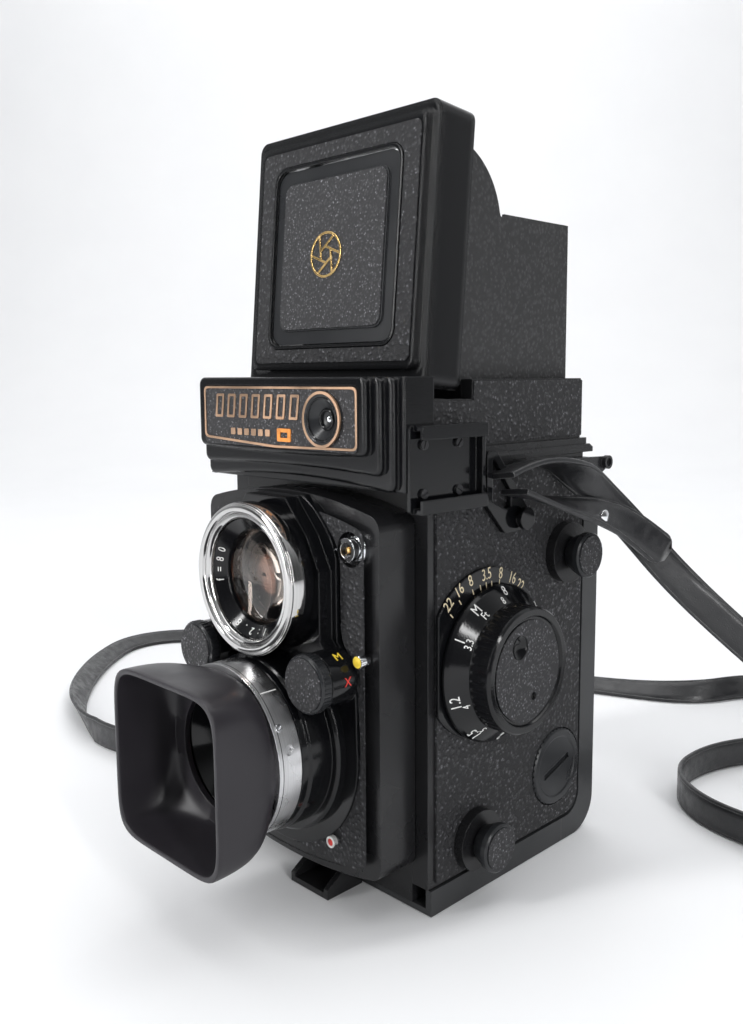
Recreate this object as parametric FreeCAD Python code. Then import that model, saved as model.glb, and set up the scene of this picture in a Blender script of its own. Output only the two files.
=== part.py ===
import FreeCAD, Part
import math
import os

from FreeCAD import Vector

# Twin lens reflex camera for 6 x 6 cm pictures on roll film.
# Millimetres. +X is the focus knob side, -Y is where the lenses look, +Z is up.
# The origin is the mouth of the tripod socket, on the plane that the camera stands on.

# ---- driving dimensions -------------------------------------------------------------------
CORE_HALF = 33.0            # half width of the die cast core
COVER_HALF = 38.5           # half width over the side covers
SKIN = 0.6                  # leatherette thickness
SIDE = COVER_HALF + SKIN    # outer face of the leatherette
FRONT = -36.0
REAR = 36.0
FOOT_LEFT = -0.8
FOOT_RIGHT = 14.2
BASE = 1.9                  # underside of the casting, above the door's floor plate
TOP = 115.4
DOOR_REAR = 38.2
DOOR_HINGE = (39.6, 112.0)  # y, z of the back door's hinge

VIEW_Z = 86.6               # viewing lens axis
TAKE_Z = 43.4               # taking lens axis
PANEL_FRONT = -48.6
PANEL_BACK = -36.3
PANEL_HALF = 34.3
PLATE_FRONT = -51.5         # front of the figure of eight plate
SHIELD_FRONT = -55.5        # front of the faceted shield round the viewing lens
TUBE_R = 16.6               # light tubes behind both lenses
TUBE_REAR = -31.4
RING_R = 19.5               # bright ring of the viewing lens
CLAMP_R = 22.4              # aluminium clamp ring of the lens shade
CLAMP_BACK = -63.4
CLAMP_FRONT = -70.2
SHADE_FRONT = -88.1
SHADE_HALF = 22.4

FILM_PLANE = 34.4
GATE_HALF = 28.0
SPOOL_R = 12.5
SUPPLY = (-18.5, 15.6)      # y, z of the supply spool
TAKEUP = (20.6, 87.6)       # y, z of the take-up spool

KNOB = (-12.2, 62.5)        # y, z of the focus knob
BATTERY = (18.6, 24.2)      # y, z of the battery chamber
CRANK = (4.0, 66.0)         # y, z of the winding crank
DIAL = (22.7, 64.2)         # x, z of the exposure dials, one each side
DIAL_BACK = -59.9           # rear of the exposure dials' heads
STUD = (-2.5, 100.0)        # y, z of the strap studs
METER_EYE = (16.8, 127.0)   # x, z of the light meter's cell

BOX_HALF = 36.0             # finder box under the hood
BOX_REAR = 33.5
BOX_TOP = 136.6
HOUSING_FRONT = -50.2
HOUSING_BACK = -43.2            # where the front tiers meet the housing behind them
HOUSING_BOTTOM = 110.0
HOUSING_TOP = 137.4
LID_PIVOT = (-31.0, 133.0)  # y, z of the hood lid's hinge
LID_LEAN = 5.0              # degrees that the open lid leans back
LID_HALF = 35.0
LID_LOW = 134.0
LID_HIGH = 204.0
LID_FACE = -33.1
LID_DEPTH = 12.4
FLAP_HALF = 23.7
FLAP_LOW = 146.0
FLAP_HIGH = 193.6
HOOD_X = 31.2               # outer face of the hood's side panels
HOOD_SHEET = 0.8
HOOD_TOP = 180.0
HOOD_REAR = 32.2

STRAP_WIDTH = 10.0          # the flat strap, seen at its two free ends
STRAP_THICK = 1.6
STRAP_CORE_R = 2.2          # plain round stand-in with the flat strap's section area


# ---- helpers ------------------------------------------------------------------------------
def block(x0, x1, y0, y1, z0, z1):
    """A box between two corners."""
    return Part.makeBox(x1 - x0, y1 - y0, z1 - z0, Vector(x0, y0, z0))


def place(axis, a, b, s):
    """The point at station s along an axis and (a, b) across it, in x, y, z order."""
    if axis == "x":
        return Vector(s, a, b)
    if axis == "y":
        return Vector(a, s, b)
    return Vector(a, b, s)


DIRECTION = {"x": Vector(1, 0, 0), "y": Vector(0, 1, 0), "z": Vector(0, 0, 1)}


def rod(axis, centre, radius, s0, s1):
    """A cylinder along an axis, from station s0 to s1."""
    low = min(s0, s1)
    return Part.makeCylinder(radius, abs(s1 - s0), place(axis, *centre, low), DIRECTION[axis])


def ring(axis, centre, outer, inner, s0, s1):
    """A tube along an axis."""
    wide = rod(axis, centre, outer, s0, s1)
    return wide.cut(rod(axis, centre, inner, min(s0, s1) - 1, max(s0, s1) + 1))


def prism(axis, points, s0, s1):
    """A polygon, given across an axis, drawn out from station s0 to s1."""
    wire = Part.makePolygon([place(axis, a, b, s0) for a, b in points + points[:1]])
    return Part.Face(wire).extrude(DIRECTION[axis] * (s1 - s0))


def slab(axis, a0, a1, b0, b1, s0, s1, radius):
    """A box along an axis whose four long edges are rounded."""
    solid = prism(axis, [(a0, b0), (a1, b0), (a1, b1), (a0, b1)], s0, s1)
    return rounded(solid, axis, radius)


def rounded(solid, axis, radius, keep=lambda point: True):
    """Round the straight edges that run along an axis and whose middle passes keep."""
    edges = []
    for edge in solid.Edges:
        if edge.Curve.TypeId != "Part::GeomLine":
            continue
        along = (edge.Vertexes[-1].Point - edge.Vertexes[0].Point).normalize()
        if abs(along.dot(DIRECTION[axis])) > 0.999 and keep(edge.CenterOfMass):
            edges.append(edge)
    return solid.makeFillet(radius, edges)


def turned(profile, x, z):
    """A profile of (radius, y) points turned about a line along Y through (x, z)."""
    wire = Part.makePolygon([Vector(x + r, y, z) for r, y in profile + profile[:1]])
    return Part.Face(wire).revolve(Vector(x, 0, z), Vector(0, 1, 0), 360)


def turned_x(profile, y, z):
    """A profile of (radius, x) points turned about a line along X through (y, z)."""
    wire = Part.makePolygon([Vector(s, y, z + r) for r, s in profile + profile[:1]])
    return Part.Face(wire).revolve(Vector(0, y, z), Vector(1, 0, 0), 360)


def arch(half, low_side, low_mid, high_side, high_mid, y0, y1):
    """A panel outline with straight sides and bowed lower and upper edges."""
    low = Part.Arc(Vector(-half, y0, low_side), Vector(0, y0, low_mid), Vector(half, y0, low_side))
    right = Part.LineSegment(Vector(half, y0, low_side), Vector(half, y0, high_side))
    high = Part.Arc(Vector(half, y0, high_side), Vector(0, y0, high_mid), Vector(-half, y0, high_side))
    left = Part.LineSegment(Vector(-half, y0, high_side), Vector(-half, y0, low_side))
    wire = Part.Wire([part.toShape() for part in (low, right, high, left)])
    return Part.Face(wire).extrude(Vector(0, y1 - y0, 0))


def lens(x, z, radius, front, back, bulge):
    """A glass with two domed faces between y = front and y = back."""
    ball = (radius * radius + bulge * bulge) / (2 * bulge)
    waist = radius * 0.7
    dip = ball - math.sqrt(ball * ball - waist * waist)
    tip = Vector(x, front, z)
    rim = Vector(x + radius, front + bulge, z)
    rear_rim = Vector(x + radius, back - bulge, z)
    rear_tip = Vector(x, back, z)
    edges = [Part.Arc(tip, Vector(x + waist, front + dip, z), rim).toShape(),
             Part.makeLine(rim, rear_rim),
             Part.Arc(rear_rim, Vector(x + waist, back - dip, z), rear_tip).toShape(),
             Part.makeLine(rear_tip, tip)]
    return Part.Face(Part.Wire(edges)).revolve(tip, Vector(0, 1, 0), 360)


def lean(solid):
    """Lean a lid piece back about the lid's hinge."""
    solid = solid.copy()
    pivot = Vector(0, *LID_PIVOT)
    solid.rotate(pivot, Vector(1, 0, 0), -LID_LEAN)
    return solid


def mirrored(solid):
    """The same piece on the other side of the camera."""
    return solid.mirror(Vector(0, 0, 0), Vector(1, 0, 0))


def fused(first, *others):
    """Several touching solids as one."""
    return first.multiFuse(list(others)).removeSplitter()


def save(name, shape):
    """Write one sub-part to its own file."""
    if not shape.isValid():
        print("NOT VALID", name)
    shape.exportStep("parts/" + name + ".step")


# ---- casting and covers -------------------------------------------------------------------
def frustum(y0, half0, y1, half1):
    """The light cone of the picture chamber."""
    def square(y, half):
        corners = [(-half, -half), (half, -half), (half, half), (-half, half)]
        corners = [(x, TAKE_Z + z) for x, z in corners]
        return Part.makePolygon([place("y", x, z, y) for x, z in corners + corners[:1]])
    return Part.makeLoft([square(y0, half0), square(y1, half1)], True, True)


def body_casting():
    core = block(-CORE_HALF, CORE_HALF, FRONT, REAR, BASE, TOP)
    core = rounded(core, "x", 8.4, lambda p: p.y > 0 and p.z < 50)
    spool_half = 31.8
    bay_r = SPOOL_R + 0.7
    cuts = [
        rod("x", SUPPLY, bay_r, -spool_half, spool_half),
        block(-spool_half, spool_half, SUPPLY[0] - bay_r, SUPPLY[0] + bay_r, 0, SUPPLY[1]),
        block(-spool_half, spool_half, SUPPLY[0], REAR + 1, 0, 9.5),
        rod("x", TAKEUP, bay_r, -spool_half, spool_half),
        block(-spool_half, spool_half, TAKEUP[0], REAR + 1, TAKEUP[1] - bay_r, TAKEUP[1] + bay_r),
        block(-spool_half, spool_half, FILM_PLANE, REAR + 1, 5, 90),
        block(-spool_half, spool_half, 29.0, REAR + 1, 8.5, 13.6),
        block(-spool_half, spool_half, 29.0, REAR + 1, 73.3, 80.0),
        block(-9.6, 9.6, FRONT - 1, -30.3, BASE - 1, 3.3),
        frustum(-31.0, 9.0, FILM_PLANE + 0.5, GATE_HALF),
        rod("y", (0, TAKE_Z), TUBE_R + 0.4, FRONT - 1, -31.0),
        rod("y", (0, VIEW_Z), TUBE_R + 0.4, FRONT - 1, -31.0),
        prism("x", [(-33.0, 62.0), (-26.0, 62.0), (30.5, 117.5), (-33.0, 117.5)], -30.0, 30.0),
        rod("x", BATTERY, 8.2, 30.6, CORE_HALF + 1),
        block(22.6, CORE_HALF + 1, -19.0, 9.0, 31.5, 60.0),
        block(-CORE_HALF - 1, -22.6, -19.0, 9.0, 31.5, 60.0),
    ]
    for x in (-29.0, 29.0):
        for z in (37.0, 56.0):
            cuts.append(rod("y", (x, z), 1.85, FRONT - 1, -22.0))
    for y, z in (SUPPLY, TAKEUP):
        for side in (-1, 1):
            cuts.append(rod("x", (y, z), 3.3, side * 31.0, side * 34.0))
    return core.cut(Part.makeCompound(cuts))


def cover_outline(s0, s1, inset=0.0):
    """The side cover's outline, with the round corner that the door fits round."""
    low = 7.2 + inset
    rear = 30.4 - inset
    shape = prism("x", [(FRONT + inset, low), (rear, low), (rear, TOP - inset), (FRONT + inset, TOP - inset)],
                  s0, s1)
    return rounded(shape, "x", 6.0 - inset / 2, lambda p: p.y > 0 and p.z < 50)


def side_cover(right):
    pan = cover_outline(CORE_HALF, COVER_HALF)
    pan = pan.cut(cover_outline(CORE_HALF - 1, COVER_HALF - 1.5, 1.6))
    holes = [rod("x", spool_axis, 3.3, 30, 45) for spool_axis in (SUPPLY, TAKEUP)]
    if right:
        holes.append(rod("x", KNOB, 3.3, 30, 45))
        holes.append(rod("x", BATTERY, 11.5, 30, 45))
        return pan.cut(Part.makeCompound(holes))
    holes.append(rod("x", CRANK, 4.3, 30, 45))
    return mirrored(pan.cut(Part.makeCompound(holes)))


def leatherette(right):
    skin = prism("x", [(-33.4, 8.0), (29.8, 8.0), (29.8, 113.0), (-33.4, 113.0)], COVER_HALF, SIDE)
    skin = rounded(skin, "x", 5.4, lambda p: p.y > 0 and p.z < 50)
    skin = rounded(skin, "x", 1.0, lambda p: p.y < 0 or p.z > 50)
    holes = [rod("x", spool_axis, 3.3, 30, 45) for spool_axis in (SUPPLY, TAKEUP)]
    if right:
        holes += [rod("x", KNOB, 3.3, 30, 45), rod("x", BATTERY, 11.5, 30, 45)]
        return skin.cut(Part.makeCompound(holes))
    holes.append(rod("x", CRANK, 4.3, 30, 45))
    return mirrored(skin.cut(Part.makeCompound(holes)))


def front_foot():
    """The stand under the lens panel, a small tray with raking sides."""
    floor = block(FOOT_LEFT, FOOT_RIGHT, -48.6, FRONT, 0, 1.6)
    back = block(FOOT_LEFT, FOOT_RIGHT, -37.6, FRONT, 0, 7.4)
    side = [(-48.6, 0), (FRONT, 0), (FRONT, 7.4), (-41.0, 7.4), (-48.6, 2.6)]
    cheeks = [prism("x", side, x, x + 1.6) for x in (FOOT_LEFT, FOOT_RIGHT - 1.6)]
    return fused(floor, back, *cheeks)


# ---- back door ----------------------------------------------------------------------------
def door_profile(s0, s1, inset):
    """The L shaped side view of the door, filled."""
    shape = prism("x", [(-35.4, inset), (DOOR_REAR - inset, inset), (DOOR_REAR - inset, 110.4),
                        (-35.4, 110.4)], s0, s1)
    return rounded(shape, "x", 10.0 - inset, lambda p: p.y > 0 and p.z < 50)


def back_door():
    """The L shaped door: a floor pan, and the rear wall with half of the hinge, welded to it."""
    wall = 1.6
    solid = door_profile(-SIDE, SIDE, 0.0).cut(door_profile(-37.2, 37.2, wall))
    hollow = prism("x", [(-40, 6.8), (30.7, 6.8), (30.7, 120), (-40, 120)], -50, 50)
    hollow = rounded(hollow, "x", 6.4, lambda p: p.y > 0 and p.z < 50)
    solid = solid.cut(hollow)
    solid = solid.cut(rod("z", (0, 0), 8.1, -1, 3))
    solid = solid.cut(ring("z", (0, 0), 14.2, 8.0, -1, 0.9))
    knuckle = rod("x", DOOR_HINGE, 2.0, -30, 30)
    web = block(-30, 30, 36.6, 39.6, 109.0, 111.0)
    barrel = fused(knuckle, web).cut(rod("x", DOOR_HINGE, 1.25, -40, 40))
    floor = block(-50, 50, -50, 22, -1, 9)
    return Part.makeCompound([solid.common(floor), fused(solid.cut(floor), barrel)])


def tripod_socket():
    """A quarter inch socket held in the door's floor."""
    boss = fused(rod("z", (0, 0), 8.1, 0, 1.7), rod("z", (0, 0), 9.6, 1.6, 6.0))
    return boss.cut(rod("z", (0, 0), 3.0, -1, 5.0))


def door_lock_dial():
    dial = ring("z", (0, 0), 14.0, 8.3, 0.1, 0.8)
    grip = block(-1.2, 1.2, 9.0, 13.6, 0.02, 0.5)
    return fused(dial, grip)


def door_latch():
    """The sliding bolt inside the door's floor, with its nose at the front."""
    bar = block(-6, 6, -35.0, -13.0, 1.75, 2.75)
    nose = block(-9, 9, -35.2, -33.6, 1.75, 2.9)
    return fused(bar, nose)


def door_hinge():
    """The hinge pin and the two arms that hold it, screwed to the body's sides."""
    pin = rod("x", DOOR_HINGE, 1.2, -40.8, 40.8)
    pieces = [pin]
    for side in (1, -1):
        outline = [(16.5, 108.5), (30, 107.4), (37, 108.4), (41.6, 111.0), (41.6, 113.6), (16.5, 114.4)]
        arm = prism("x", outline, SIDE, SIDE + 1.2)
        arm = rounded(arm, "x", 0.9)
        arm = arm.cut(rod("x", DOOR_HINGE, 1.2, 30, 45))
        cap = ring("x", DOOR_HINGE, 2.0, 1.2, SIDE + 1.2, 41.6)
        screw = rod("x", (28.0, 111.2), 1.5, SIDE + 1.2, SIDE + 1.7)
        second = rod("x", (19.5, 111.4), 1.5, SIDE + 1.2, SIDE + 1.7)
        for piece in (arm, cap, screw, second):
            pieces.append(piece if side > 0 else mirrored(piece))
    return Part.makeCompound(pieces)


def pressure_plate():
    plate = slab("y", -29.5, 29.5, 14.0, 73.0, FILM_PLANE + 0.45, FILM_PLANE + 1.25, 2.0)
    ribs = [block(x - 1, x + 1, FILM_PLANE + 1.2, FILM_PLANE + 1.45, 20, 67) for x in (-15, 15)]
    return fused(plate, *ribs)


# ---- film transport -----------------------------------------------------------------------
def spool(centre):
    """A roll film spool: a slotted core between two flanges."""
    pieces = [rod("x", centre, 5.6, -31.0, 31.0)]
    for side in (-1, 1):
        pieces.append(rod("x", centre, SPOOL_R, side * 30.2, side * 31.3))
    solid = fused(*pieces)
    y, z = centre
    slit = block(-29, 29, y - 0.5, y + 0.5, z - 8, z + 8)
    socket = rod("x", centre, 2.3, -40, 40)
    return solid.cut(Part.makeCompound([slit, socket]))


def film_roller(y, z):
    waist = rod("x", (y, z), 1.6, -31.5, 31.5)
    ends = [rod("x", (y, z), 2.2, side * 28.0, side * 31.0) for side in (-1, 1)]
    return fused(waist, *ends)


def spool_knob(centre, disc):
    """A pull-out knob whose pin holds the spool."""
    pin = rod("x", centre, 2.1, 29.6, 43.0)
    head = turned_x([(0, 42.8), (4.6, 42.8), (5.4, 44.4), (6.4, 46.4), (6.4, disc - 0.4), (6.0, disc),
                     (0, disc)], *centre)
    return fused(pin, head)


def spool_bosses():
    """The two collars that the spool knobs slide in."""
    low = rod("x", SUPPLY, 8.2, SIDE, 42.0).cut(block(SIDE - 1, 43, SUPPLY[0] - 9, SUPPLY[0] + 9, 0, 8.2))
    high = rod("x", TAKEUP, 8.6, SIDE, 42.0)
    low = low.cut(rod("x", SUPPLY, 2.15, 30, 50))
    high = high.cut(rod("x", TAKEUP, 2.15, 30, 50))
    left = []
    for centre in (SUPPLY, TAKEUP):
        left.append(mirrored(rod("x", centre, 6.5, SIDE, 40.4)))
        left.append(mirrored(rod("x", centre, 2.2, 29.6, SIDE)))
    return Part.makeCompound([low, high] + left)


# ---- reflex finder ------------------------------------------------------------------------
def reflex_mirror():
    glass = block(-28.5, 28.5, -37.0, 34.4, 0.05, 1.55)
    glass.rotate(Vector(0, 0, 0), Vector(1, 0, 0), math.degrees(math.atan2(55.5, 56.5)))
    glass.translate(Vector(0, 2.2, 89.8))
    return glass


def focusing_screen():
    return block(-31.0, 31.0, -30.5, 30.5, TOP, TOP + 1.5)


def hood_base():
    """Flange, stepped edge and leather covered box that carry the hood."""
    flange = slab("z", -38.9, 38.9, -34.0, REAR + 0.4, TOP, TOP + 2.2, 2.0)
    flange = flange.makeChamfer(0.9, [e for e in flange.Edges if e.BoundBox.ZMin > TOP + 2.1])
    step = slab("z", -37.4, 37.4, -34.0, BOX_REAR + 1.4, TOP + 2.1, TOP + 4.0, 1.6)
    box = slab("z", -BOX_HALF, BOX_HALF, -34.0, BOX_REAR, TOP + 3.9, BOX_TOP, 1.5)
    solid = fused(flange, step, box)
    well = slab("z", -32.2, 32.2, -20.6, 33.0 - 1.0, TOP + 2.0, BOX_TOP + 5, 1.0)
    seat = block(-31.3, 31.3, -30.8, 30.8, TOP - 1, TOP + 2.05)
    notch = block(-BOX_HALF - 1, BOX_HALF + 1, -35.0, -16.6, 131.6, BOX_TOP + 1)
    return solid.cut(Part.makeCompound([well, seat, notch]))


def hood_lid():
    """The open lid: a framed plate with three flanges, hollow behind."""
    outer = slab("y", -LID_HALF, LID_HALF, LID_LOW, LID_HIGH, LID_FACE, LID_FACE + LID_DEPTH, 3.0)
    inner = slab("y", -LID_HALF + 1.3, LID_HALF - 1.3, LID_LOW - 6, LID_HIGH - 1.3,
                 LID_FACE + 1.4, LID_FACE + LID_DEPTH + 1, 2.0)
    shell = outer.cut(inner)
    raised = slab("y", -32.2, 32.2, 139.0, LID_HIGH - 2.8, LID_FACE - 1.6, LID_FACE + 0.1, 2.2)
    shell = fused(shell, raised)
    window = slab("y", -FLAP_HALF - 0.4, FLAP_HALF + 0.4, FLAP_LOW - 0.4, FLAP_HIGH + 0.9,
                  LID_FACE - 4, LID_FACE + 2, 4.4)
    foot_gap = block(-40, 40, LID_FACE - 3, LID_FACE + 30, LID_LOW - 1, LID_LOW + 2.0)
    foot_gap = foot_gap.cut(block(-40, 40, LID_FACE + 2.2, LID_FACE + 31, LID_LOW - 2, LID_LOW + 3))
    shell = shell.cut(Part.makeCompound([window, foot_gap]))
    return lean(shell)


def sports_flap():
    """The flap that swings in to open the lid as a frame finder."""
    plate = slab("y", -FLAP_HALF, FLAP_HALF, FLAP_LOW, FLAP_HIGH, LID_FACE - 1.3, LID_FACE + 0.9, 4.0)
    pad = slab("y", -20.2, 20.2, 149.6, 190.0, LID_FACE - 1.9, LID_FACE - 1.2, 3.0)
    return lean(fused(plate, pad))


def magnifier_arm():
    """The hinged frame of the focusing magnifier, folded behind the flap."""
    plate = slab("y", -18.0, 18.0, 152.0, 191.0, LID_FACE + 1.2, LID_FACE + 2.2, 3.0)
    rim = ring("y", (0, 170.0), 14.6, 13.0, LID_FACE + 2.1, LID_FACE + 6.0)
    solid = fused(plate, rim).cut(rod("y", (0, 170.0), 13.0, LID_FACE, LID_FACE + 9))
    return lean(solid)


def magnifier_lens():
    return lean(lens(0, 170.0, 12.9, LID_FACE + 2.0, LID_FACE + 5.6, 1.2))


def hood_side(right):
    """A side wall of the hood, with the round shoulder behind the lid."""
    low = 135.2 if right else 133.4
    x0 = HOOD_X - HOOD_SHEET
    flat = prism("x", [(-17.0, low), (HOOD_REAR - 0.6, low), (HOOD_REAR - 0.6, HOOD_TOP), (-13.0, HOOD_TOP)],
                 x0, HOOD_X)
    start = Vector(x0, 0.2, HOOD_TOP)
    middle = Vector(x0, -3.6, 188.6)
    end = Vector(x0, -13.0, 195.6)
    edges = [Part.Arc(start, middle, end).toShape(),
             Part.makeLine(end, Vector(x0, -13.0, HOOD_TOP)),
             Part.makeLine(Vector(x0, -13.0, HOOD_TOP), start)]
    shoulder = Part.Face(Part.Wire(edges)).extrude(Vector(HOOD_SHEET, 0, 0))
    panel = fused(flat, shoulder)
    notch = rod("x", (1.2, HOOD_TOP), 0.9, x0 - 1, HOOD_X + 1)
    panel = panel.cut(notch)
    return panel if right else mirrored(panel)


def hood_back():
    """The rear wall of the hood, with the square sighting hole."""
    sheet = slab("y", -29.8, 29.8, 137.0, HOOD_TOP, HOOD_REAR, HOOD_REAR + HOOD_SHEET, 0.5)
    return sheet.cut(slab("y", -9.0, 9.0, 157.0, 175.0, HOOD_REAR - 1, HOOD_REAR + 2, 1.5))


# ---- light meter housing ------------------------------------------------------------------
def housing_tier(left, right, low_side, low_middle, front):
    """One layer of the housing's front, with a bowed lower edge and soft corners."""
    bow = Part.Arc(Vector(left, front, low_side), Vector((left + right) / 2, front, low_middle),
                   Vector(right, front, low_side))
    sides = Part.makePolygon([Vector(right, front, low_side), Vector(right, front, HOUSING_TOP),
                              Vector(left, front, HOUSING_TOP), Vector(left, front, low_side)])
    layer = Part.Face(Part.Wire([bow.toShape()] + sides.Edges)).extrude(Vector(0, HOUSING_BACK - front, 0))
    layer = rounded(layer, "y", 2.2)
    return layer.makeFillet(0.8, [edge for edge in layer.Edges if edge.BoundBox.YMax < front + 0.01])


def nameplate_housing():
    """The meter housing: nested tiers that make lips below and flutes at the right."""
    lower = slab("z", -SIDE, SIDE, HOUSING_BACK - 1.4, -36.2, HOUSING_BOTTOM, TOP + 0.3, 0.4)
    upper = slab("z", -SIDE, SIDE, HOUSING_BACK - 1.4, -34.2, TOP + 0.2, HOUSING_TOP, 0.4)
    first = housing_tier(-36.2, 31.4, 118.6, 117.8, HOUSING_FRONT)
    second = housing_tier(-36.8, 34.4, 113.8, 114.8, HOUSING_FRONT + 2.0)
    third = housing_tier(-37.6, 37.0, 109.8, 112.0, HOUSING_FRONT + 3.8)
    solid = fused(lower, upper, first, second, third)
    cavity = block(-33, 33, HOUSING_FRONT + 4.5, -36.8, HOUSING_BOTTOM + 3, HOUSING_TOP - 1.5)
    window = slab("z", -19, 19, -46.4, -38.6, HOUSING_TOP - 3, HOUSING_TOP + 1, 1.0)
    recess = slab("y", -33.2, 29.0, 119.2, 135.0, HOUSING_FRONT - 1, HOUSING_FRONT + 0.5, 1.6)
    eye = rod("y", METER_EYE, 6.0, HOUSING_FRONT - 1, HOUSING_FRONT + 5)
    return solid.cut(Part.makeCompound([cavity, window, recess, eye]))


def nameplate():
    plate = slab("y", -33.2, 29.0, 119.2, 135.0, HOUSING_FRONT - 0.1, HOUSING_FRONT + 0.5, 1.6)
    field = slab("y", -32.6, 28.4, 119.8, 134.4, HOUSING_FRONT - 0.5, HOUSING_FRONT - 0.05, 1.2)
    return plate.cut(field).cut(rod("y", METER_EYE, 6.0, HOUSING_FRONT - 1, HOUSING_FRONT + 1))


def meter_cell_window():
    bezel = turned([(6.7, HOUSING_FRONT - 0.9), (6.7, HOUSING_FRONT - 0.1), (6.0, HOUSING_FRONT - 0.1),
                    (6.0, HOUSING_FRONT + 4.4), (0, HOUSING_FRONT + 4.4), (0, HOUSING_FRONT + 2.2),
                    (2.2, HOUSING_FRONT + 1.6), (6.0, HOUSING_FRONT - 0.9)], *METER_EYE)
    return bezel


def meter_needle():
    """A balanced pointer under the top window, turning on an upright pin."""
    pin = rod("z", (0, -42.5), 0.8, HOUSING_BOTTOM + 3.1, HOUSING_TOP - 4.6)
    pointer = block(-15.0, 2.0, -42.8, -42.2, HOUSING_TOP - 5.0, HOUSING_TOP - 4.6)
    tail = rod("z", (2.6, -42.5), 1.0, HOUSING_TOP - 5.0, HOUSING_TOP - 4.6)
    return fused(pin, pointer, tail)


def accessory_shoe():
    """A slide-in shoe on the side: base plate, two rails with turned lips, end stop."""
    y0 = -44.0
    y1 = -18.8
    base = slab("x", y0, y1, 105.0, 126.0, SIDE, SIDE + 1.1, 0.8)
    pieces = [base]
    for low, high, lip_low, lip_high in ((105.0, 106.2, 105.0, 108.4), (124.8, 126.0, 122.6, 126.0)):
        pieces.append(block(SIDE, SIDE + 4.2, y0 + 1.2, y1, low, high))
        pieces.append(block(SIDE + 3.2, SIDE + 4.2, y0 + 1.2, y1, lip_low, lip_high))
    pieces.append(block(SIDE + 1.0, SIDE + 3.3, y1 - 1.2, y1, 106.0, 125.0))
    for y, z in ((-39.6, 109.6), (-39.6, 121.4), (-27.0, 109.6), (-27.0, 121.4)):
        pieces.append(rod("x", (y, z), 1.1, SIDE + 1.0, SIDE + 1.5))
    return fused(*pieces)


def strap_lugs():
    """A headed stud on each side, and the slotted clip that hangs the strap on it."""
    stud = fused(rod("x", STUD, 1.9, SIDE, SIDE + 3.4), rod("x", STUD, 3.0, SIDE + 3.3, SIDE + 4.6))
    outline = [(-16.4, 104.4), (-9.0, 96.6), (0.4, 96.6), (1.6, 101.6), (-12.6, 118.4), (-16.4, 118.4)]
    clip = rounded(prism("x", outline, SIDE + 0.6, SIDE + 2.0), "x", 1.2)
    slot = [(-14.2, 105.4), (-14.2, 116.2), (-13.4, 116.2), (-6.6, 107.4), (-6.6, 103.4), (-9.0, 103.0)]
    gap = prism("x", slot, SIDE, SIDE + 3)
    clip = clip.cut(Part.makeCompound([gap, rod("x", STUD, 1.9, SIDE, SIDE + 3)]))
    return Part.makeCompound([stud, clip, mirrored(stud), mirrored(clip)])


# ---- controls on the sides ----------------------------------------------------------------
def battery_cover():
    cap = turned_x([(0, 37.3), (9.6, 37.3), (11.2, 38.0), (11.2, 39.2), (10.6, 39.7), (9.0, 39.7),
                    (8.6, 39.4), (0, 39.4)], *BATTERY)
    slot = block(38.6, 41, BATTERY[0] - 6.2, BATTERY[0] + 6.2, BATTERY[1] - 0.9, BATTERY[1] + 0.9)
    slot.rotate(Vector(39, *BATTERY), Vector(1, 0, 0), 18)
    notches = []
    for n in range(40):
        turn = 2 * math.pi * n / 40
        centre = (BATTERY[0] + 11.3 * math.cos(turn), BATTERY[1] + 11.3 * math.sin(turn))
        notches.append(rod("x", centre, 0.4, 38.8, 41))
    return cap.cut(Part.makeCompound([slot] + notches))


def battery():
    return fused(rod("x", BATTERY, 7.8, 31.0, 35.6), rod("x", BATTERY, 5.6, 35.5, 36.9))


def focus_knob():
    """Distance skirt, ribbed grip and dished rim, turned as one piece."""
    x, y, z = 41.0, *KNOB
    skirt = turned_x([(0, x - 0.4), (21.0, x - 0.4), (21.0, x + 0.4), (20.4, x + 1.2), (16.6, x + 4.6),
                      (16.6, x + 10.4), (16.0, x + 11.0), (14.4, x + 11.0), (14.0, x + 10.3),
                      (0, x + 10.3)], y, z)
    ribs = []
    for n in range(48):
        turn = 2 * math.pi * n / 48
        centre = (y + 16.8 * math.cos(turn), z + 16.8 * math.sin(turn))
        ribs.append(rod("x", centre, 0.45, x + 5.2, x + 9.6))
    dimple = Part.makeSphere(5.0, Vector(x + 14.2, y - 3.6, z + 6.8))
    screw = rod("x", (y + 2.4, z - 7.2), 0.9, x + 9.6, x + 12)
    return skirt.cut(Part.makeCompound(ribs + [dimple, screw]))


def depth_scale():
    plate = rod("x", (-15.2, 65.6), 22.6, SIDE, SIDE + 1.0)
    plate = plate.common(block(30, 50, -33.8, 40, 0, 120))
    return plate.cut(rod("x", KNOB, 3.3, 30, 50))


def focus_shaft():
    return fused(rod("x", KNOB, 3.0, 33.5, 40.6), rod("x", KNOB, 7.5, 34.0, 36.2))


def crank_plate():
    plate = rod("x", CRANK, 15.0, SIDE, SIDE + 1.3)
    collar = rod("x", CRANK, 9.0, SIDE + 1.2, SIDE + 2.3)
    return mirrored(fused(plate, collar).cut(rod("x", CRANK, 4.05, 30, 50)))


def crank_arm():
    """Hub and arm, the arm lying forward along the side."""
    y, z = CRANK
    hub = fused(rod("x", CRANK, 4.0, 34.0, SIDE + 2.7), rod("x", CRANK, 8.0, SIDE + 2.6, SIDE + 6.2))
    arm = slab("x", y - 30.0, y + 2.0, z - 4.0, z + 4.0, SIDE + 3.2, SIDE + 5.2, 3.0)
    pin = rod("x", (y - 26.0, z), 1.5, SIDE + 5.1, SIDE + 9.8)
    return mirrored(fused(hub, arm, pin))


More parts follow.
